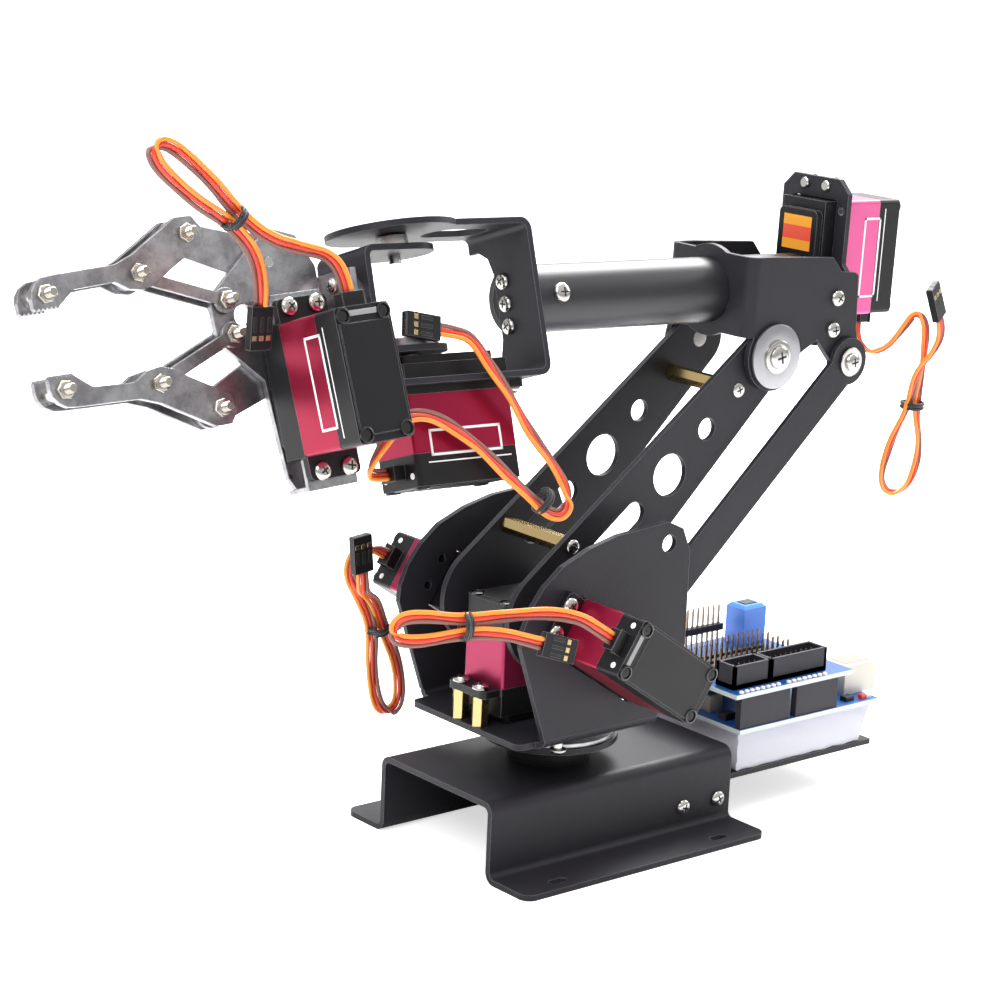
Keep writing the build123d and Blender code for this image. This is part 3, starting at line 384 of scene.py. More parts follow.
# Controller boards: two glass-fibre boards with a blue lacquer and pale cut edges. Black
# nylon headers, a blue terminal, an ivory socket and small parts are soldered on them.
# The lacquer shines softly, the headers are nearly matt, and the terminal is a clear blue.
LOWER_BOARD = 31.6
UPPER_BOARD = 44.6
PIN_PITCH = 2.54
ground = axes((0, 0, 0), (1, 0, 0), (0, 0, 1))
board = finish("board_blue", "#0f4a94", 0.35, coat=0.3)
tree = board.node_tree
facing = add(tree, "ShaderNodeSeparateXYZ", Vector=add(tree, "ShaderNodeTexCoord").outputs["Normal"])
level = add(tree, "ShaderNodeMath", {"operation": "ABSOLUTE"}, n0=facing.outputs["Z"])
blend = add(tree, "ShaderNodeMix", {"data_type": "RGBA"}, n0=level.outputs[0], n6=hex_colour("#c9d2d2"),
            n7=hex_colour("#1c5ba3"))
tree.links.new(blend.outputs[2], tree.nodes["Principled BSDF"].inputs["Base Color"])
dress(board, "controller_board shield_board")
dress(case_black, "board_connectors")
header_black = finish("header_black", "#2c2b31", 0.5, gloss=0.3, grain=(0.1, 1.1111), edge=0.2, dapple=0.04)
terminal_blue = finish("terminal_blue", "#4d8cf0", 0.35, edge=0.3)
ivory = finish("ivory_plastic", "#cfcabf", 0.45, edge=0.3)
# Black parts on the boards, and also painted shade: dark sheets and marks that stand for the shade in
# holes, slots and recesses.
black_parts_and_hole_shade = finish("black_parts_and_hole_shade", "#070707", 0.5)
socket_grey = finish("socket_grey", "#8f8b80", 0.5)
lamp_red = finish("lamp_red", "#d8382e", 0.3)
white_ink = finish("white_ink", "#f2f2f2", 0.5)
piece = Piece("board_parts")
for y in (-27.6, 22.0):
    for x0, x1 in ((57.4, 81), (84.4, 104.8)):
        piece.block(ground, (x0, y, LOWER_BOARD), (x1, y + 2.6, 43), header_black)
BOX_NEAR, BOX_FAR, BOX_TOP, BOX_WALL = -23.5, -14.5, 53.1, 1.2
header_boxes = ((57.4, 74.6), (75, 102.4))
for x0, x1 in header_boxes:
    for wall_low, wall_high in (
        ((x0, BOX_NEAR), (x1, BOX_NEAR + BOX_WALL)),
        ((x0, BOX_FAR - BOX_WALL), (x1, BOX_FAR)),
        ((x0, BOX_NEAR), (x0 + BOX_WALL, BOX_FAR)),
        ((x1 - BOX_WALL, BOX_NEAR), (x1, BOX_FAR)),
    ):
        piece.block(ground, (*wall_low, UPPER_BOARD), (*wall_high, BOX_TOP), header_black, 0.15)
    piece.block(ground, (x0, BOX_NEAR, UPPER_BOARD), (x1, BOX_FAR, 46.4), header_black, 0.0)
pin_rows = (-9, -4, 1, 6)
for y in pin_rows:
    piece.block(ground, (60, y - 1.2, UPPER_BOARD), (100, y + 1.2, 47.1), header_black, 0.15)
for low, high, material, edge in (
    ((74, 18.8, 50.2), (92.5, 21.2, 52.6), header_black, 0.15),
    ((96.5, 12.5, UPPER_BOARD), (107.5, 21.8, 59.4), terminal_blue, 1.2),
    # Dark sheets on the terminal's top and side and on the socket's side: painted shade in their openings.
    ((99.2, 14.9, 59.3), (104.8, 19.4, 59.7), black_parts_and_hole_shade, 0.0),
    ((106.4, 13, 47), (107.7, 21, 52), black_parts_and_hole_shade, 0.1),
    ((116.5, -20, LOWER_BOARD), (132.5, -8, 42.6), ivory, 0.5),
    ((118.2, -18.3, 42.4), (130.8, -9.7, 42.75), socket_grey, 0.1),
    ((132.3, -18, 33), (132.6, -10, 41), black_parts_and_hole_shade, 0.0),
    ((112, -25.5, LOWER_BOARD), (116, -22.5, 33.2), black_parts_and_hole_shade, 0.2),
    ((119, -26.5, LOWER_BOARD), (121.4, -24.5, 33.4), lamp_red, 0.4),
    ((122, -26.2, LOWER_BOARD), (124, -24.6, 33.0), white_ink, 0.3),
    ((60, -18, LOWER_BOARD), (65, -14, 34.0), black_parts_and_hole_shade, 0.3),
    ((62, -8, LOWER_BOARD), (68, -2, 37.6), socket_grey, 0.3),
    ((58.5, 4, LOWER_BOARD), (62.5, 11, 33.6), black_parts_and_hole_shade, 0.3),
    ((64, 12, LOWER_BOARD), (69, 17, 37.1), socket_grey, 0.3),
):
    piece.block(ground, low, high, material, edge)
piece.done("base", "connector_black", "board_connectors")

# Pins and pads of the boards: square plated brass pins 0.64 mm across in black strips,
# and round domes of solder along the upper board's near edge.
# The pins are a dull warm metal, the solder a bright one.
STORED = (("facing", "FLOAT_VECTOR"), ("spin", "FLOAT"), ("girth", "FLOAT"), ("rise", "FLOAT"))


def repeat_tree():
    """Nodes that set a head and a mark on every point, by its facing, spin, girth and rise."""
    tree = bpy.data.node_groups.new("repeat_fasteners", "GeometryNodeTree")
    sockets = tree.interface
    sockets.new_socket("Geometry", in_out="INPUT", socket_type="NodeSocketGeometry")
    for label in ("Head", "Mark"):
        sockets.new_socket(label, in_out="INPUT", socket_type="NodeSocketObject")
        sockets.new_socket(label + " Finish", in_out="INPUT", socket_type="NodeSocketMaterial")
    sockets.new_socket("Unit", in_out="INPUT", socket_type="NodeSocketFloat")
    sockets.new_socket("Geometry", in_out="OUTPUT", socket_type="NodeSocketGeometry")
    start = tree.nodes.new("NodeGroupInput").outputs
    stored = {}
    for label, kind in STORED:
        node = add(tree, "GeometryNodeInputNamedAttribute", {"data_type": kind}, Name=label)
        stored[label] = node.outputs["Attribute"]
    aim = add(tree, "FunctionNodeAlignRotationToVector", {"axis": "Z"}, Vector=stored["facing"])
    spin = add(tree, "FunctionNodeAxisAngleToRotation", Axis=(0, 0, 1), Angle=stored["spin"])
    turn = add(tree, "FunctionNodeRotateRotation", {"rotation_space": "LOCAL"}, Rotation=aim.outputs[0],
               Rotate_By=spin.outputs[0])
    size = add(tree, "ShaderNodeCombineXYZ", X=stored["girth"], Y=stored["girth"], Z=stored["rise"])
    unit = add(tree, "ShaderNodeVectorMath", {"operation": "SCALE"}, n0=size.outputs[0],
               Scale=start["Unit"])
    join = tree.nodes.new("GeometryNodeJoinGeometry")
    for label in ("Head", "Mark"):
        source = add(tree, "GeometryNodeObjectInfo", Object=start[label])
        copies = add(tree, "GeometryNodeInstanceOnPoints", Points=start["Geometry"],
                     Instance=source.outputs["Geometry"], Rotation=turn.outputs[0], Scale=unit.outputs[0])
        real = add(tree, "GeometryNodeRealizeInstances", Geometry=copies.outputs[0])
        dressed = add(tree, "GeometryNodeSetMaterial", Geometry=real.outputs[0],
                      Material=start[label + " Finish"])
        tree.links.new(dressed.outputs[0], join.inputs[0])
    add(tree, "NodeGroupOutput", n0=join.outputs[0])
    return tree


REPEAT = repeat_tree()
INPUTS = {item.name: item.identifier for item in REPEAT.interface.items_tree if item.in_out == "INPUT"}


def unit_shape(name, profiles=(), blocks=(), sides=24):
    """A source shape one metre in radius and height, for the repeats alone."""
    piece = Piece(name)
    for profile in profiles:
        piece.turned(ground, [(r / MM, z / MM) for r, z in profile], None, sides)
    for low, high in blocks:
        piece.block(ground, [v / MM for v in low], [v / MM for v in high], None, 0.0)
    made = new_mesh(name, piece.verts, piece.faces, [], None, True)
    made.data.set_sharp_from_angle(angle=CREASE)
    made.hide_render = True
    return made


def repeat(name, body_name, places, head, head_finish, mark, mark_finish, replaced=()):
    """Plain mesh with a head and a mark at each (point, facing, girth, rise, spin) in millimetres."""
    made = new_mesh(name, [Vector(p[0]) * MM for p in places], [], [])
    for label, kind in STORED:
        made.data.attributes.new(label, kind, "POINT")
    stored = made.data.attributes
    for i, (point, facing, girth, rise, spin) in enumerate(places):
        stored["facing"].data[i].vector = facing
        stored["girth"].data[i].value = girth
        stored["rise"].data[i].value = rise
        stored["spin"].data[i].value = spin
    modifier = made.modifiers.new("repeat", "NODES")
    modifier.node_group = REPEAT
    values = {"Head": head, "Head Finish": head_finish, "Mark": mark, "Mark Finish": mark_finish}
    for label, value in (*values.items(), ("Unit", MM)):
        modifier[INPUTS[label]] = value
    bpy.context.view_layer.update()
    plain = bpy.data.meshes.new_from_object(made.evaluated_get(bpy.context.evaluated_depsgraph_get()))
    made.modifiers.clear()
    made.data = plain
    made.data.set_sharp_from_angle(angle=CREASE)
    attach(made, body_name)
    if replaced:
        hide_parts(*replaced)
    return made


pin_metal = finish("pin_metal", "#8c7a6c", 0.35, metallic=1.0)
solder = finish("solder", "#e8e4e0", 0.3, metallic=0.3)
pin_body = unit_shape("pin_body", [[(1, 0), (1, 0.9), (0.5, 1)]], sides=4)
pin_base = unit_shape("pin_base", [[(1.6, 0), (1.6, 0.02)]], sides=4)
pin_base_small = unit_shape("pin_base_small", [[(0.5, 0), (0.5, 0.2)]], sides=8)
cross_head = unit_shape(
    "cross_head", [[(0.94, 0), (1, 0.08), (1, 0.3), (0.93, 0.58), (0.76, 0.82), (0.5, 0.96), (0.3, 1)]]
)
UPWARDS = Vector((0, 0, 1))
PINS_IN_ROW = 15
PIN_HALF = 0.45
pins = []
for y in pin_rows:
    for i in range(PINS_IN_ROW):
        pins.append((Vector((62 + i * PIN_PITCH, y, 46.9)), UPWARDS, PIN_HALF, 6.2, 0.0))
for i in range(7):
    pins.append((Vector((75.6 + i * PIN_PITCH, 20, UPPER_BOARD)), UPWARDS, PIN_HALF, 15.5, 0.0))
for x0, count in ((59.5, 6), (77.3, 10)):
    for i in range(count):
        for y in (-20.4, -17.9):
            pins.append((Vector((x0 + i * PIN_PITCH, y, 46.4)), UPWARDS, 0.42, 5.4, 0.0))
repeat("board_pins", "base", pins, pin_body, pin_metal, pin_base, header_black)
pads = []
for x0, count in ((57.8, 8), (80.6, 8)):
    for i in range(count):
        pads.append((Vector((x0 + i * PIN_PITCH, -26.9, UPPER_BOARD)), UPWARDS, 0.95, 0.9, 0.0))
repeat("board_pads", "base", pads, cross_head, solder, pin_base_small, solder)

# Turntable hub, shoulder horn, wrist discs and the gripper's bracket, arms, links and jaws:
# aluminium plate, cut and left raw. Handling leaves it cloudy, mid grey with darker patches.
raw_metal = finish("raw_aluminium", "#b4b4b7", 0.3, metallic=0.96, grain=(0.35, 0.9091), edge=0.45,
                   dapple=0.07, mottle="#8c8a8d")
dress(raw_metal, "turntable_hub shoulder_horn wrist_discs palm_bracket gear_arm_upper gear_arm_lower")
dress(raw_metal, "jaw_upper jaw_lower link_upper link_lower")

# Spacers: hexagonal brass standoffs under the base motor and between the arm plates,
# turned from bar, so they shine a pale yellow.
brass = finish("turned_brass", "#cbb27e", 0.24, metallic=1.0, grain=(0.05, 0.8333), edge=0.2, dapple=0.05)
dress(brass, "base_motor_standoffs arm_standoffs")

# Motor cases and bands: six alike, each with moulded black covers round a middle of aluminium, which is
# machined and dyed magenta in its anodising. The base and far bands get a paler copy of the magenta and the
# roll band a pink one: painted light for the bands on which more light falls.
# The dye keeps the metal's sheen, so the bands shine in their own colour.
dyed = {"grain": (0.04, 0.66667), "edge": 0.25, "dapple": 0.04}
magenta = finish("magenta_anodised", "#9e173c", 0.3, metallic=0.65, **dyed)
# Painted light: paler and pinker copies of the one magenta, for the bands that catch more light.
magenta_lit_paler = finish("magenta_anodised_lit_paler", "#9c284e", 0.3, metallic=0.6, **dyed)
magenta_lit_pink = finish("magenta_anodised_lit_pink", "#dc6098", 0.32, metallic=0.5, **dyed)
dress(case_black, "base_motor_case near_motor_case far_motor_case")
dress(case_black, "roll_motor_case wrist_motor_case grip_motor_case")
dress(magenta, "near_motor_band wrist_motor_band grip_motor_band")
dress(magenta_lit_paler, "base_motor_band far_motor_band")
dress(magenta_lit_pink, "roll_motor_band")

# Motor covers: a raised panel, a light grey strip that is a painted highlight on the cover's step, and four
# sunk black socket screws on each back cover, and two white dots beside the rubber that holds the lead.
# The screws are oiled black steel, which catches small sharp lights.
SLOPE = math.radians(33.5)
slope_x = (math.cos(SLOPE), 0, -math.sin(SLOPE))
fore = axes((-74.0, 0.0, 184.7), (0.99939083, 0, -0.0348995), (0.03299812, 0.32556815, 0.94494259))
grip = axes(
    (-133.96345, 0, 186.79397), (0.99905183, 0.02441069, 0.03604933), (-0.04202781, 0.32465172, 0.94489942)
)
# Each motor's frame stands on its ears: X runs along the case, Z out of the shaft.
motors = {
    "base": (axes((-5, 0, 54.5), (-1, 0, 0), (0, 0, -1)), "turret"),
    "near": (axes((-20, -32.5, 78.5), slope_x, (0, 1, 0)), "turret"),
    "far": (axes((-20, 32.5, 78.5), slope_x, (0, -1, 0)), "turret"),
    "roll": (axes((106, 0, 178.414), (0.0348995, 0, 0.99939083), (-0.99939083, 0, 0.0348995)), "elbow"),
    "wrist": (axes(spot(fore, 0, 0, -26), fore[1], fore[3]), "forearm"),
    "grip": (axes(spot(grip, 18.5, -4, -15), -grip[3], grip[2]), "palm"),
}
COVER_BACK = 30.5
COVER_SCREW_RADIUS = 2.45
COVER_SCREW_RISE = 0.75
cover_step_highlight = finish("cover_step_highlight", "#8d8d8f", 0.4)
gloss_black = finish("gloss_black", "#0a0a0b", 0.16, coat=0.3, edge=0.15)
socket_ring = unit_shape("socket_ring", [[(1, 0), (1, 0.8), (0.9, 1), (0.76, 1), (0.7, 0.2)]])
socket_mark = unit_shape(
    "socket_mark",
    [[(0.68, 0.1), (0.68, 0.4), (0.5, 0.6)]],
    [((-0.36, -0.09, 0.4), (0.36, 0.09, 0.66)), ((-0.09, -0.36, 0.4), (0.09, 0.36, 0.66))],
)
cover_rings = {}
for name, (motor, body_name) in motors.items():
    piece = Piece(name + "_motor_cover_trim")
    rear = axes(spot(motor, 0, 0, -COVER_BACK), motor[1], -motor[3])
    piece.block(rear, (-5.2, -9.3, -0.05), (27.8, 9.3, 0.35), case_black, 0.3)
    # Painted highlight: a light grey strip where the cover steps.
    piece.block(rear, (-8.6, -5.2, -0.05), (-7.0, 5.2, 0.28), cover_step_highlight, 0.1)
    piece.block(rear, (-14.4, -3.9, -3.1), (-9.9, 3.9, -2.7), case_black, 0.1)
    lead_end = axes(spot(motor, -10, 0, -27), motor[2], -motor[1])
    for y in (-6.9, 6.9):
        piece.turned(lead_end, [(1.0, 0), (1.0, 0.12)], white_ink, 16, y, 0)
    piece.done(body_name, "black_plastic")
    for x in (-7.4, 27.4):
        for y in (-7.4, 7.4):
            seat = (spot(rear, x, y, 0), rear[3], COVER_SCREW_RADIUS, COVER_SCREW_RISE, 0.5 + x + y)
            cover_rings.setdefault(body_name, []).append(seat)
for body_name, places in cover_rings.items():
    # The marks at the sockets' bottoms are dark: painted shade in the sockets.
    repeat(body_name + "_cover_screws", body_name, places, socket_ring, gloss_black,
           socket_mark, black_parts_and_hole_shade)

# Motor labels: plain line frames printed in white on three bands, and a sticker of three
# plain stripes on the roll motor's gear case. They are ink and film, almost without height.
LABEL_FRAME = (-4, 13.4, 24, 21.6)
LINE_WIDTH = 0.8
LINE_RISE = 0.06
label_yellow = finish("label_yellow", "#f2a32a", 0.5)
label_red = finish("label_red", "#e8543c", 0.5)
x0, y0, x1, y1 = LABEL_FRAME
label_lines = (
    (x0, y0, x1, y0 + LINE_WIDTH),
    (x0, y1 - LINE_WIDTH, x1, y1),
    (x0, y0, x0 + LINE_WIDTH, y1),
    (x1 - LINE_WIDTH, y0, x1, y1),
    (-5.5, 23.2, 27, 23.6),
)
for name, side in (("grip", 1), ("wrist", -1), ("roll", -1)):
    motor, body_name = motors[name]
    piece = Piece(name + "_motor_label")
    label = axes(spot(motor, 0, side * 10, 0), motor[1], motor[2] * side)
    for xa, ya, xb, yb in label_lines:
        low_y, high_y = sorted((ya * side, yb * side))
        piece.block(label, (xa, low_y, 0), (xb, high_y, LINE_RISE), white_ink, 0.0)
    piece.done(body_name, "magenta_anodised")
piece = Piece("roll_motor_sticker")
roll_motor = motors["roll"][0]
gear_face = axes(spot(roll_motor, 0, 0, 9.5), roll_motor[1], roll_motor[3])
stripes = ((12.4, 15.8, label_yellow), (15.8, 20.6, label_red), (20.6, 24.2, label_yellow))
for low, high, material in stripes:
    piece.block(gear_face, (low, -6.6, 0), (high, 6.6, 0.08), material, 0.0)
piece.done("elbow", "black_plastic")

# Screws: stainless cross-head machine screws, 3 and 4 mm, through the motor ears, the
# plates and the brackets. Bright steel, each stopped at a turn of its own.
EAR_HOLES = (-14.75, 34.75)
SPIN_STEP = 0.73
steel = finish("bright_steel", "#c4c2be", 0.2, metallic=1.0, grain=(0.05, 0.8333), edge=0.12, dapple=0.05)
dress(steel, "base_fasteners turret_fasteners arm_fasteners elbow_fasteners fork_fasteners palm_fasteners")
dress(steel, "jaw_upper_bolts jaw_lower_bolts elbow_pivots")
# The cross in each screw head is a dark mark: painted shade in the recess.
cross_mark = unit_shape(
    "cross_mark", blocks=[((-0.5, -0.1, 0.86), (0.5, 0.1, 1.02)), ((-0.1, -0.5, 0.86), (0.1, 0.5, 1.02))]
)
elbow = axes((106, 0, 178.414), (0.99939083, 0, -0.0348995), (0.0348995, 0, 0.99939083))
spins = [0.3]


def screw(axes_, x, y, z, facing, girth, rise):
    """A seat for a head or a nut, each turned a little further than the one before."""
    spins.append(spins[-1] + SPIN_STEP)
    return (spot(axes_, x, y, z), Vector(facing), girth, rise, spins[-1])


screws = {"base": [], "turret": [], "upper_arm": [], "elbow": [], "forearm": [], "palm": []}
for motor, body_name in motors.values():
    for x in EAR_HOLES:
        for y in (-5, 5):
            screws[body_name].append(screw(motor, x, y, -2.5, -motor[3], 2.9, 1.8))
for s in (-1, 1):
    for x in (31, 47):
        screws["base"].append(screw(ground, x, s * 29, 9.5, (0, s, 0), 2.8, 1.8))
    screws["turret"].append(screw(ground, -22, s * 24, 38.8, (0, 0, -1), 2.9, 1.8))
    screws["upper_arm"].append(screw(ground, 56.4, s * 17.7, 148.8, (0, s, 0), 2.6, 1.0 if s > 0 else 0.7))
    screws["upper_arm"].append(screw(ground, -14.6, s * 17.7, 104.2, (0, s, 0), 2.6, 1.6))
    screws["upper_arm"].append(screw(ground, 69.2, s * 23.0, 159.7, (0, s, 0), 4.0, 1.5))
    for x, z in ((-8.2, -1.5), (-8.9, -12.5)):
        screws["elbow"].append(screw(elbow, x, s * 20.5, z, (0, s, 0), 2.9, 1.8))
    screws["palm"].append(screw(fore, -25.5, -1, s * 7, -fore[1], 2.4, 1.4))
    screws["palm"].append(screw(grip, -0.5, 10.4, s * 5.2, grip[2], 2.9, 1.8))
screws["elbow"].append(screw(ground, 103.88, -23.9, 155.01, (0, -1, 0), 3.1, 1.6))
for z in (6, -1.2, -8.4):
    screws["forearm"].append(screw(fore, 42, 0, z, -fore[1], 2.7, 1.7))
screws["forearm"].append(screw(fore, 56, -11, 0, -fore[2], 3.2, 1.8))
screws["palm"].append(screw(grip, 18.5, 10.4, 15, grip[2], 2.9, 1.8))
screws["palm"].append(screw(fore, 0, 0, 24.2, fore[3], 3.0, 1.4))
screw_nodes = {"base": "base_fasteners", "turret": "turret_fasteners", "upper_arm": "arm_fasteners",
               "elbow": "elbow_fasteners", "forearm": "fork_fasteners", "palm": "palm_fasteners"}
for body_name, places in screws.items():
    repeat(body_name + "_screws", body_name, places, cross_head, steel, cross_mark,
           black_parts_and_hole_shade, [screw_nodes[body_name]])

# Lock nuts: hexagonal steel nuts with a collar on the gripper's near side, a little duller
# than the screws, with the threaded bolt ends that stand out of them.
JAW_BOLTS = ((-30.5, 16.2), (-11.5, 26), (-62, 13.7))
THREADS = 11
nut_metal = finish("nut_steel", "#b5b0a6", 0.26, metallic=1.0, grain=(0.05, 0.8333), edge=0.12, dapple=0.05)
lock_nut = unit_shape("lock_nut", [[(0.92, 0), (1, 0.06), (1, 0.6), (0.92, 0.68)]], sides=6)
thread = []
for i in range(THREADS):
    thread += [(0.44, 0.1 + i * 0.2), (0.51, 0.2 + i * 0.2)]
collar = [(0.78, 0.6), (0.8, 0.95), (0.7, 1.02)]
thread_end = unit_shape("thread_end", [collar, thread + [(0.4, 2.35)]], sides=16)
nut_places = {"palm": [], "jaw_upper": [], "jaw_lower": []}
for s, jaw_body in ((1, "jaw_upper"), (-1, "jaw_lower")):
    nut_places["palm"].append(screw(grip, -0.5, 4.1, s * 5.2, -grip[2], 2.9, 2.2))
    for x, z in JAW_BOLTS:
        nut_places[jaw_body].append(screw(grip, x, 2, s * z, -grip[2], 2.9, 2.2))
for body_name, places in nut_places.items():
    repeat(body_name + "_nuts", body_name, places, lock_nut, nut_metal, thread_end, nut_metal)

# Jaw bolts: 3 mm steel bolts with rounded heads on the far side. Steel spacers keep the
# two plates of a jaw apart at its middle and its tip.
for s, jaw_body in ((1, "jaw_upper"), (-1, "jaw_lower")):
    piece = Piece(jaw_body + "_shanks")
    for (x, z), spacer in zip(JAW_BOLTS, (0, 8.0, 10.3)):
        shank = axes(spot(grip, x, 0, s * z), grip[1], grip[2])
        piece.turned(shank, [(1.5, 4), (1.5, 10.3)], steel, 16)
        piece.turned(shank, [(2.7, 12.3), (2.9, 12.6), (2.6, 13.5), (1.6, 14.1)], steel, 20)
        if spacer:
            piece.turned(shank, [(2.6, 4.02), (2.8, 4.2), (2.8, spacer - 0.2), (2.6, spacer)], steel, 20)
    piece.done(jaw_body, "stainless", jaw_body + "_bolts")

# Palm shafts: the steel wrist pivot with its collar, and the shanks of the three bolts
# that carry the links and the lower gear arm.
piece = Piece("palm_shafts")
pivot = axes(spot(fore, 0, 0, 17.5), fore[1], fore[3])
piece.turned(pivot, [(4.7, 0), (5, 0.3), (5, 4.0), (4.7, 4.3)], steel)
piece.turned(pivot, [(2, -4.5), (2, 6.8)], steel, 16)
for x, z, foot in ((-0.5, 5.2, 4.1), (-0.5, -5.2, 4.1), (18.5, 15, 5.9)):
    shank = axes(spot(grip, x, 0, z), grip[1], grip[2])
    piece.turned(shank, [(1.5, foot), (1.5, 10.4)], steel, 16)
piece.done("palm", "stainless")

# Rod pin: the steel pin and washer at the tie rod's upper eye, and the ends of the four
# screws that hold the roll motor's ears to its mount.
piece = Piece("rod_pin")
pin = axes((103.88, -20.5, 155.01), (1, 0, 0), (0, -1, 0))
piece.turned(pin, [(2.5, 0), (2.5, 2.4)], steel)
piece.turned(pin, [(4.8, 2.4), (5.0, 2.5), (5.0, 3.2), (4.8, 3.4)], steel, 32)
for y in (-5, 5):
    for x in EAR_HOLES:
        post = axes(spot(roll_motor, x, y, 2), roll_motor[1], roll_motor[3])
        piece.turned(post, [(1.9, 0), (1.9, 0.8), (1.5, 1.2)], steel, 20)
piece.done("elbow", "stainless")

# Hanging screws: the shanks of the two steel screws that come up through the turret's
# floor from below.
piece = Piece("hanging_shanks")
for y in (-24, 24):
    piece.turned(axes((-22, y, 38.8), (1, 0, 0), (0, 0, 1)), [(1.5, 0), (1.5, 3.6)], steel, 16)
piece.done("turret", "stainless")

# Elbow pivots: a turned aluminium disc, a steel washer and a steel pin on each side,
# pressed into the arm plates. The discs are satin, with a thin bright rim.
ELBOW_X, ELBOW_Z = 69.2, 159.7
disc_metal = finish("disc_aluminium", "#a2a2a5", 0.32, metallic=0.9, grain=(0.06, 0.9091), edge=0.2,
                    dapple=0.05)
piece = Piece("elbow_discs")
for s in (-1, 1):
    disc = axes((ELBOW_X, s * 20.6, ELBOW_Z), (1, 0, 0), (0, s, 0))
    piece.turned(disc, [(3, -4.9), (3, 0.2)], steel)
    piece.turned(disc, [(10.8, 0.2), (11, 0.4), (11, 1.3), (10.6, 1.5), (6.0, 1.5)], disc_metal, 48)
    piece.turned(disc, [(5.6, 1.5), (5.7, 1.7), (5.7, 2.1), (5.4, 2.3), (4.2, 2.35)], steel, 32)
    piece.turned(disc, [(5, -2.9), (5, -2.4)], steel, 32)
piece.done("upper_arm", "stainless", "elbow_pivots")

# Leads: each motor but the base one has three wires side by side, folded once or twice,
# tied with a twist of black wire and plugged. They hang free beside their motors.
leads = {
    # Points of the run, the plug's mouth, its way back to the wires, the way across the
    # wires, body, plug node, the tie's place and run, and the way across the plug.
    "near": (
        [(-45, -57.5, 95), (-57, -56, 98), (-70, -53.5, 98.6), (-84, -50, 98.2), (-97, -45, 100.5),
         (-104, -42, 99.5), (-105, -41.5, 93.5), (-98, -44.5, 92), (-84, -50, 94.4), (-73, -55.5, 93.6)],
        (-61, -58.5, 89.5), (0.9, -0.08, -0.32), forward * 0.45 - cam_up * 0.9, "turret",
        "turret_lead_plugs", (-84, -50, 96.3), (-1, 0.33, 0), (0.32, 0.1, 0.9),
    ),
    "far": (
        [(-45.5, 57, 90), (-48, 58, 82), (-43, 57, 73), (-38, 56, 62), (-38, 56, 46),
         (-35, 56, 33), (-29.5, 56, 29.5), (-25, 56, 33.5), (-26.5, 56, 47), (-34, 56, 62),
         (-39, 54, 72), (-46, 51, 76.5)],
        (-48.5, 49, 84.5), (-0.1, 0, 1), cam_right + forward * 0.4, "turret", "turret_lead_plugs",
        (-36, 56, 61), (0.05, 0, -1), (1, 0, 0.1),
    ),
    "roll": (
        [(136, -1.5, 151.5), (144, -3, 152.5), (149, -5, 159.5), (155, -5.5, 165.5), (161.5, -5.5, 160.5),
         (162, -5, 146), (159.4, -5, 131), (163.5, -5, 114), (160.5, -5, 102), (153, -5, 98.6),
         (145.8, -5, 101), (143.3, -5, 107.5), (148, -5, 119), (155.6, -5, 131), (156.5, -7, 144),
         (160.5, -10.5, 151)],
        (160.6, -12, 164), (-0.4, 0, 0.92), cam_right * 0.5 + forward * 0.8, "elbow", "roll_lead_plug",
        (157.5, -5, 131), (0.1, 0, 1), (0.85, 0.37, 0.37),
    ),
    "wrist": (
        [spot(fore, *p) for p in (
            (-24, -4, -49.5), (-23, -12, -43), (-17, -15.5, -35), (-5, -14.5, -35.5), (8, -14, -43.5),
            (18, -14, -53), (27.5, -13, -61.5), (36, -12, -69), (43, -12, -70.5), (46.5, -12, -64),
            (42, -12.5, -55), (33, -14, -45), (25, -16.5, -33), (17.5, -17.5, -22.5), (13, -16, -13))],
        spot(fore, 2.5, -13.5, -9.6), fore[3] * 0.2 - fore[1], cam_up * 0.9 + forward * 0.4, "forearm",
        "wrist_lead_plug", spot(fore, 35, -12.5, -65), fore[1] - fore[3] * 0.6, fore[3],
    ),
    "grip": (
        [(-120, -24.3, 207.5), (-128.5, -23, 209.5), (-138.6, -21.5, 212.6), (-148.9, -20, 220.3),
         (-158.4, -20, 230.9), (-174.2, -20, 243.1), (-178.8, -20, 237.5), (-163.4, -20, 224.7),
         (-151.1, -20, 217.7), (-141.5, -18, 208.8)],
        (-135, -12.5, 191.5), (-0.05, 0, -1), forward * 0.35 - cam_up * 0.7 - cam_right * 0.6, "palm",
        "grip_lead_plug", (-150, -20, 219), (-0.78, 0, 0.627), grip[1],
    ),
}

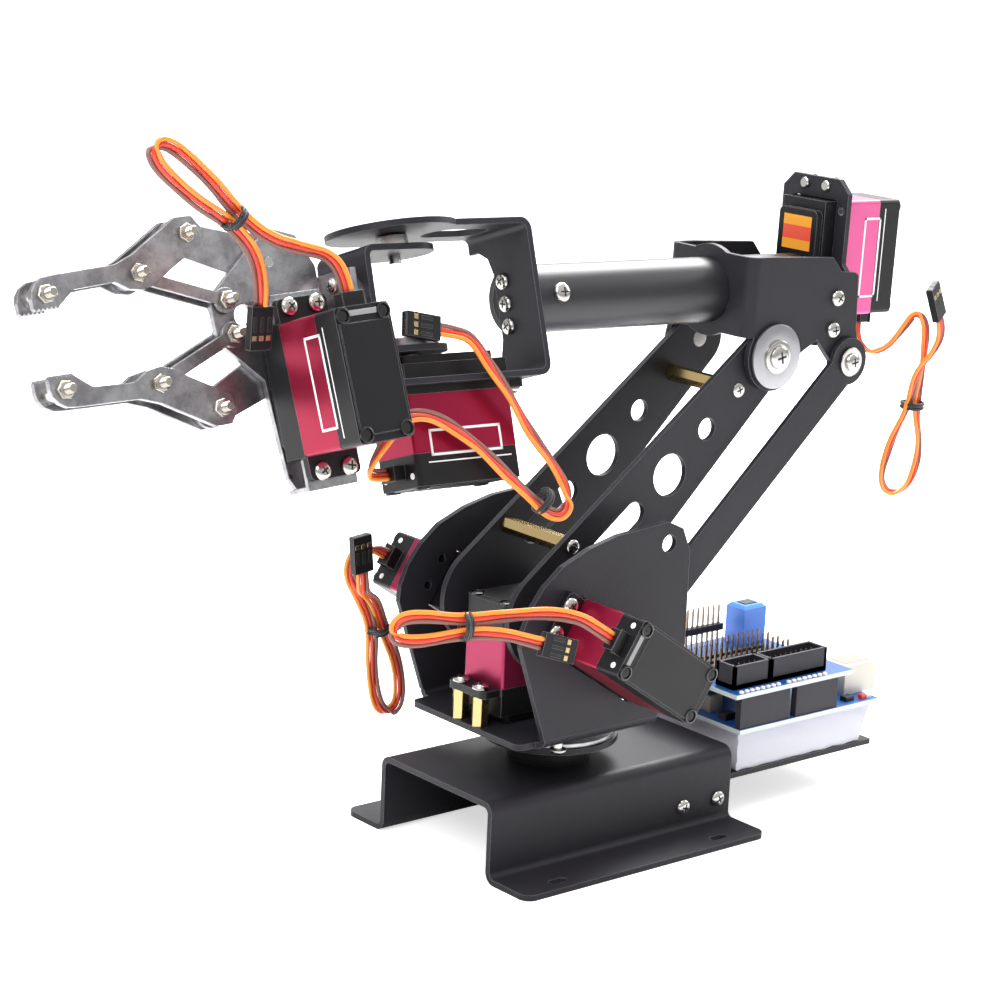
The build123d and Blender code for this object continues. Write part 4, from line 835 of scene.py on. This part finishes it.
# Plugs and ties: moulded black three-way housings with slots over their brass contacts,
# and three turns of soft black wire that hold the folds together.
PLUG_LENGTH = 13
CONTACTS = (-2.5, 0, 2.5)
TIE_STEPS = 72
dress(case_black, "turret_lead_plugs roll_lead_plug wrist_lead_plug grip_lead_plug")
for name, (_, mouth, away, _, body_name, plug_node, tie_at, tie_dir, plug_x) in leads.items():
    piece = Piece(name + "_plug_and_tie")
    back = Vector(away).normalized()
    plug = axes(mouth, Vector(plug_x) - back * back.dot(Vector(plug_x)), back)
    piece.block(plug, (-3.8, -1.3, 0), (3.8, 1.3, PLUG_LENGTH), case_black, 0.25)
    # Dark patches stand for the slots over the contacts and the mouths at the plug's end: painted shade in
    # the openings.
    for s in (-1, 1):
        low, high = sorted((s * 1.28, s * 1.36))
        for x in CONTACTS:
            piece.block(plug, (x - 0.5, low, 3.2), (x + 0.5, high, 7.4), black_parts_and_hole_shade, 0.0)
            piece.block(plug, (x - 0.75, low, 8.6), (x + 0.75, high, 10.0), brass, 0.0)
    for x in CONTACTS:
        low, high = (x - 0.8, -0.8, PLUG_LENGTH - 0.1), (x + 0.8, 0.8, PLUG_LENGTH + 0.05)
        piece.block(plug, low, high, black_parts_and_hole_shade, 0.0)
    tie = axes(tie_at, Vector(tie_dir).orthogonal(), tie_dir)
    loop = []
    for i in range(TIE_STEPS + 1):
        angle = 2 * math.pi * i / 24
        reach = 3.7 + 0.25 * math.sin(angle * 0.5)
        height = -1.1 + 2.2 * i / TIE_STEPS + 0.4 * math.cos(angle)
        loop.append(at(tie, reach * math.cos(angle), reach * math.sin(angle), height))
    piece.tube(loop, 0.62, case_black)
    piece.done(body_name, "black_plastic", plug_node)

# Wires: three strands 1.5 mm thick that touch along their run, each with a little sway
# of its own. PVC insulation is smooth and glossy, so a light line follows each strand.


def samples(name, route):
    """Points along the smooth line through a route in metres."""
    data = bpy.data.curves.new(name, "CURVE")
    data.dimensions = "3D"
    spline = data.splines.new("NURBS")
    spline.points.add(len(route) - 1)
    for point, place in zip(spline.points, route):
        point.co = (*place, 1)
    spline.order_u = 3
    spline.use_endpoint_u = True
    spline.resolution_u = 10
    curve = bpy.data.objects.new(name, data)
    scene.collection.objects.link(curve)
    line = bpy.data.meshes.new_from_object(curve.evaluated_get(bpy.context.evaluated_depsgraph_get()))
    found = [v.co.copy() for v in line.vertices]
    bpy.data.objects.remove(curve)
    bpy.data.meshes.remove(line)
    return found


WIRE_RADIUS = 0.76
WIRE_STEP = 1.46
WIRE_SIDES = 8
SWAY = 0.25
SWAY_TURN = 260
SWAY_SHIFT = 2.1
LEAD_EXIT = (-14.2, 0, -25.25)
STRAIGHT = 6
wire_orange = finish("wire_orange", "#f58f34", 0.26)
wire_red = finish("wire_red", "#d84432", 0.26)
wire_brown = finish("wire_brown", "#875a52", 0.26)
for name, (middle, mouth, away, across, body_name, *_) in leads.items():
    motor = motors[name][0]
    exit_point = at(motor, *LEAD_EXIT)
    back = Vector(away).normalized()
    end = Vector(mouth) * MM
    first = [exit_point, at(motor, LEAD_EXIT[0] - STRAIGHT, *LEAD_EXIT[1:])]
    route = first + [Vector(p) * MM for p in middle] + [end - back * STRAIGHT * MM, end]
    line = samples(name + "_route", route)
    rings = []
    walked = 0.0
    for i, point in enumerate(line):
        if i:
            walked += (point - line[i - 1]).length
        tangent = (line[min(i + 1, len(line) - 1)] - line[max(i - 1, 0)]).normalized()
        wide = (Vector(across) - tangent * Vector(across).dot(tangent)).normalized()
        rings.append((point, wide, tangent.cross(wide), walked))
    verts = []
    faces = []
    colours = []
    for k in (-1, 0, 1):
        start = len(verts)
        for point, wide, flat, gone in rings:
            swing = SWAY * math.sin(gone * SWAY_TURN + SWAY_SHIFT * k)
            centre = point + wide * (k * WIRE_STEP * MM) + flat * (swing * MM)
            for j in range(WIRE_SIDES):
                angle = 2 * math.pi * j / WIRE_SIDES
                out = wide * math.cos(angle) + flat * math.sin(angle)
                verts.append(centre + out * (WIRE_RADIUS * MM))
        for i in range(len(rings) - 1):
            for j in range(WIRE_SIDES):
                a = start + i * WIRE_SIDES + j
                b = start + i * WIRE_SIDES + (j + 1) % WIRE_SIDES
                faces.append((a, b, b + WIRE_SIDES, a + WIRE_SIDES))
                colours.append(k + 1)
        last = start + (len(rings) - 1) * WIRE_SIDES
        faces.append(tuple(start + j for j in range(WIRE_SIDES))[::-1])
        faces.append(tuple(last + j for j in range(WIRE_SIDES)))
        colours += [k + 1, k + 1]
    lead = new_mesh(name + "_lead_wires", verts, faces, [wire_orange, wire_red, wire_brown], colours, True)
    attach(lead, body_name)
    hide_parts(name + "_motor_lead")

# The shapes that the repeats were made from go.
for source in (pin_body, pin_base, pin_base_small, cross_head, cross_mark, lock_nut, thread_end,
               socket_ring, socket_mark):
    bpy.data.objects.remove(source)
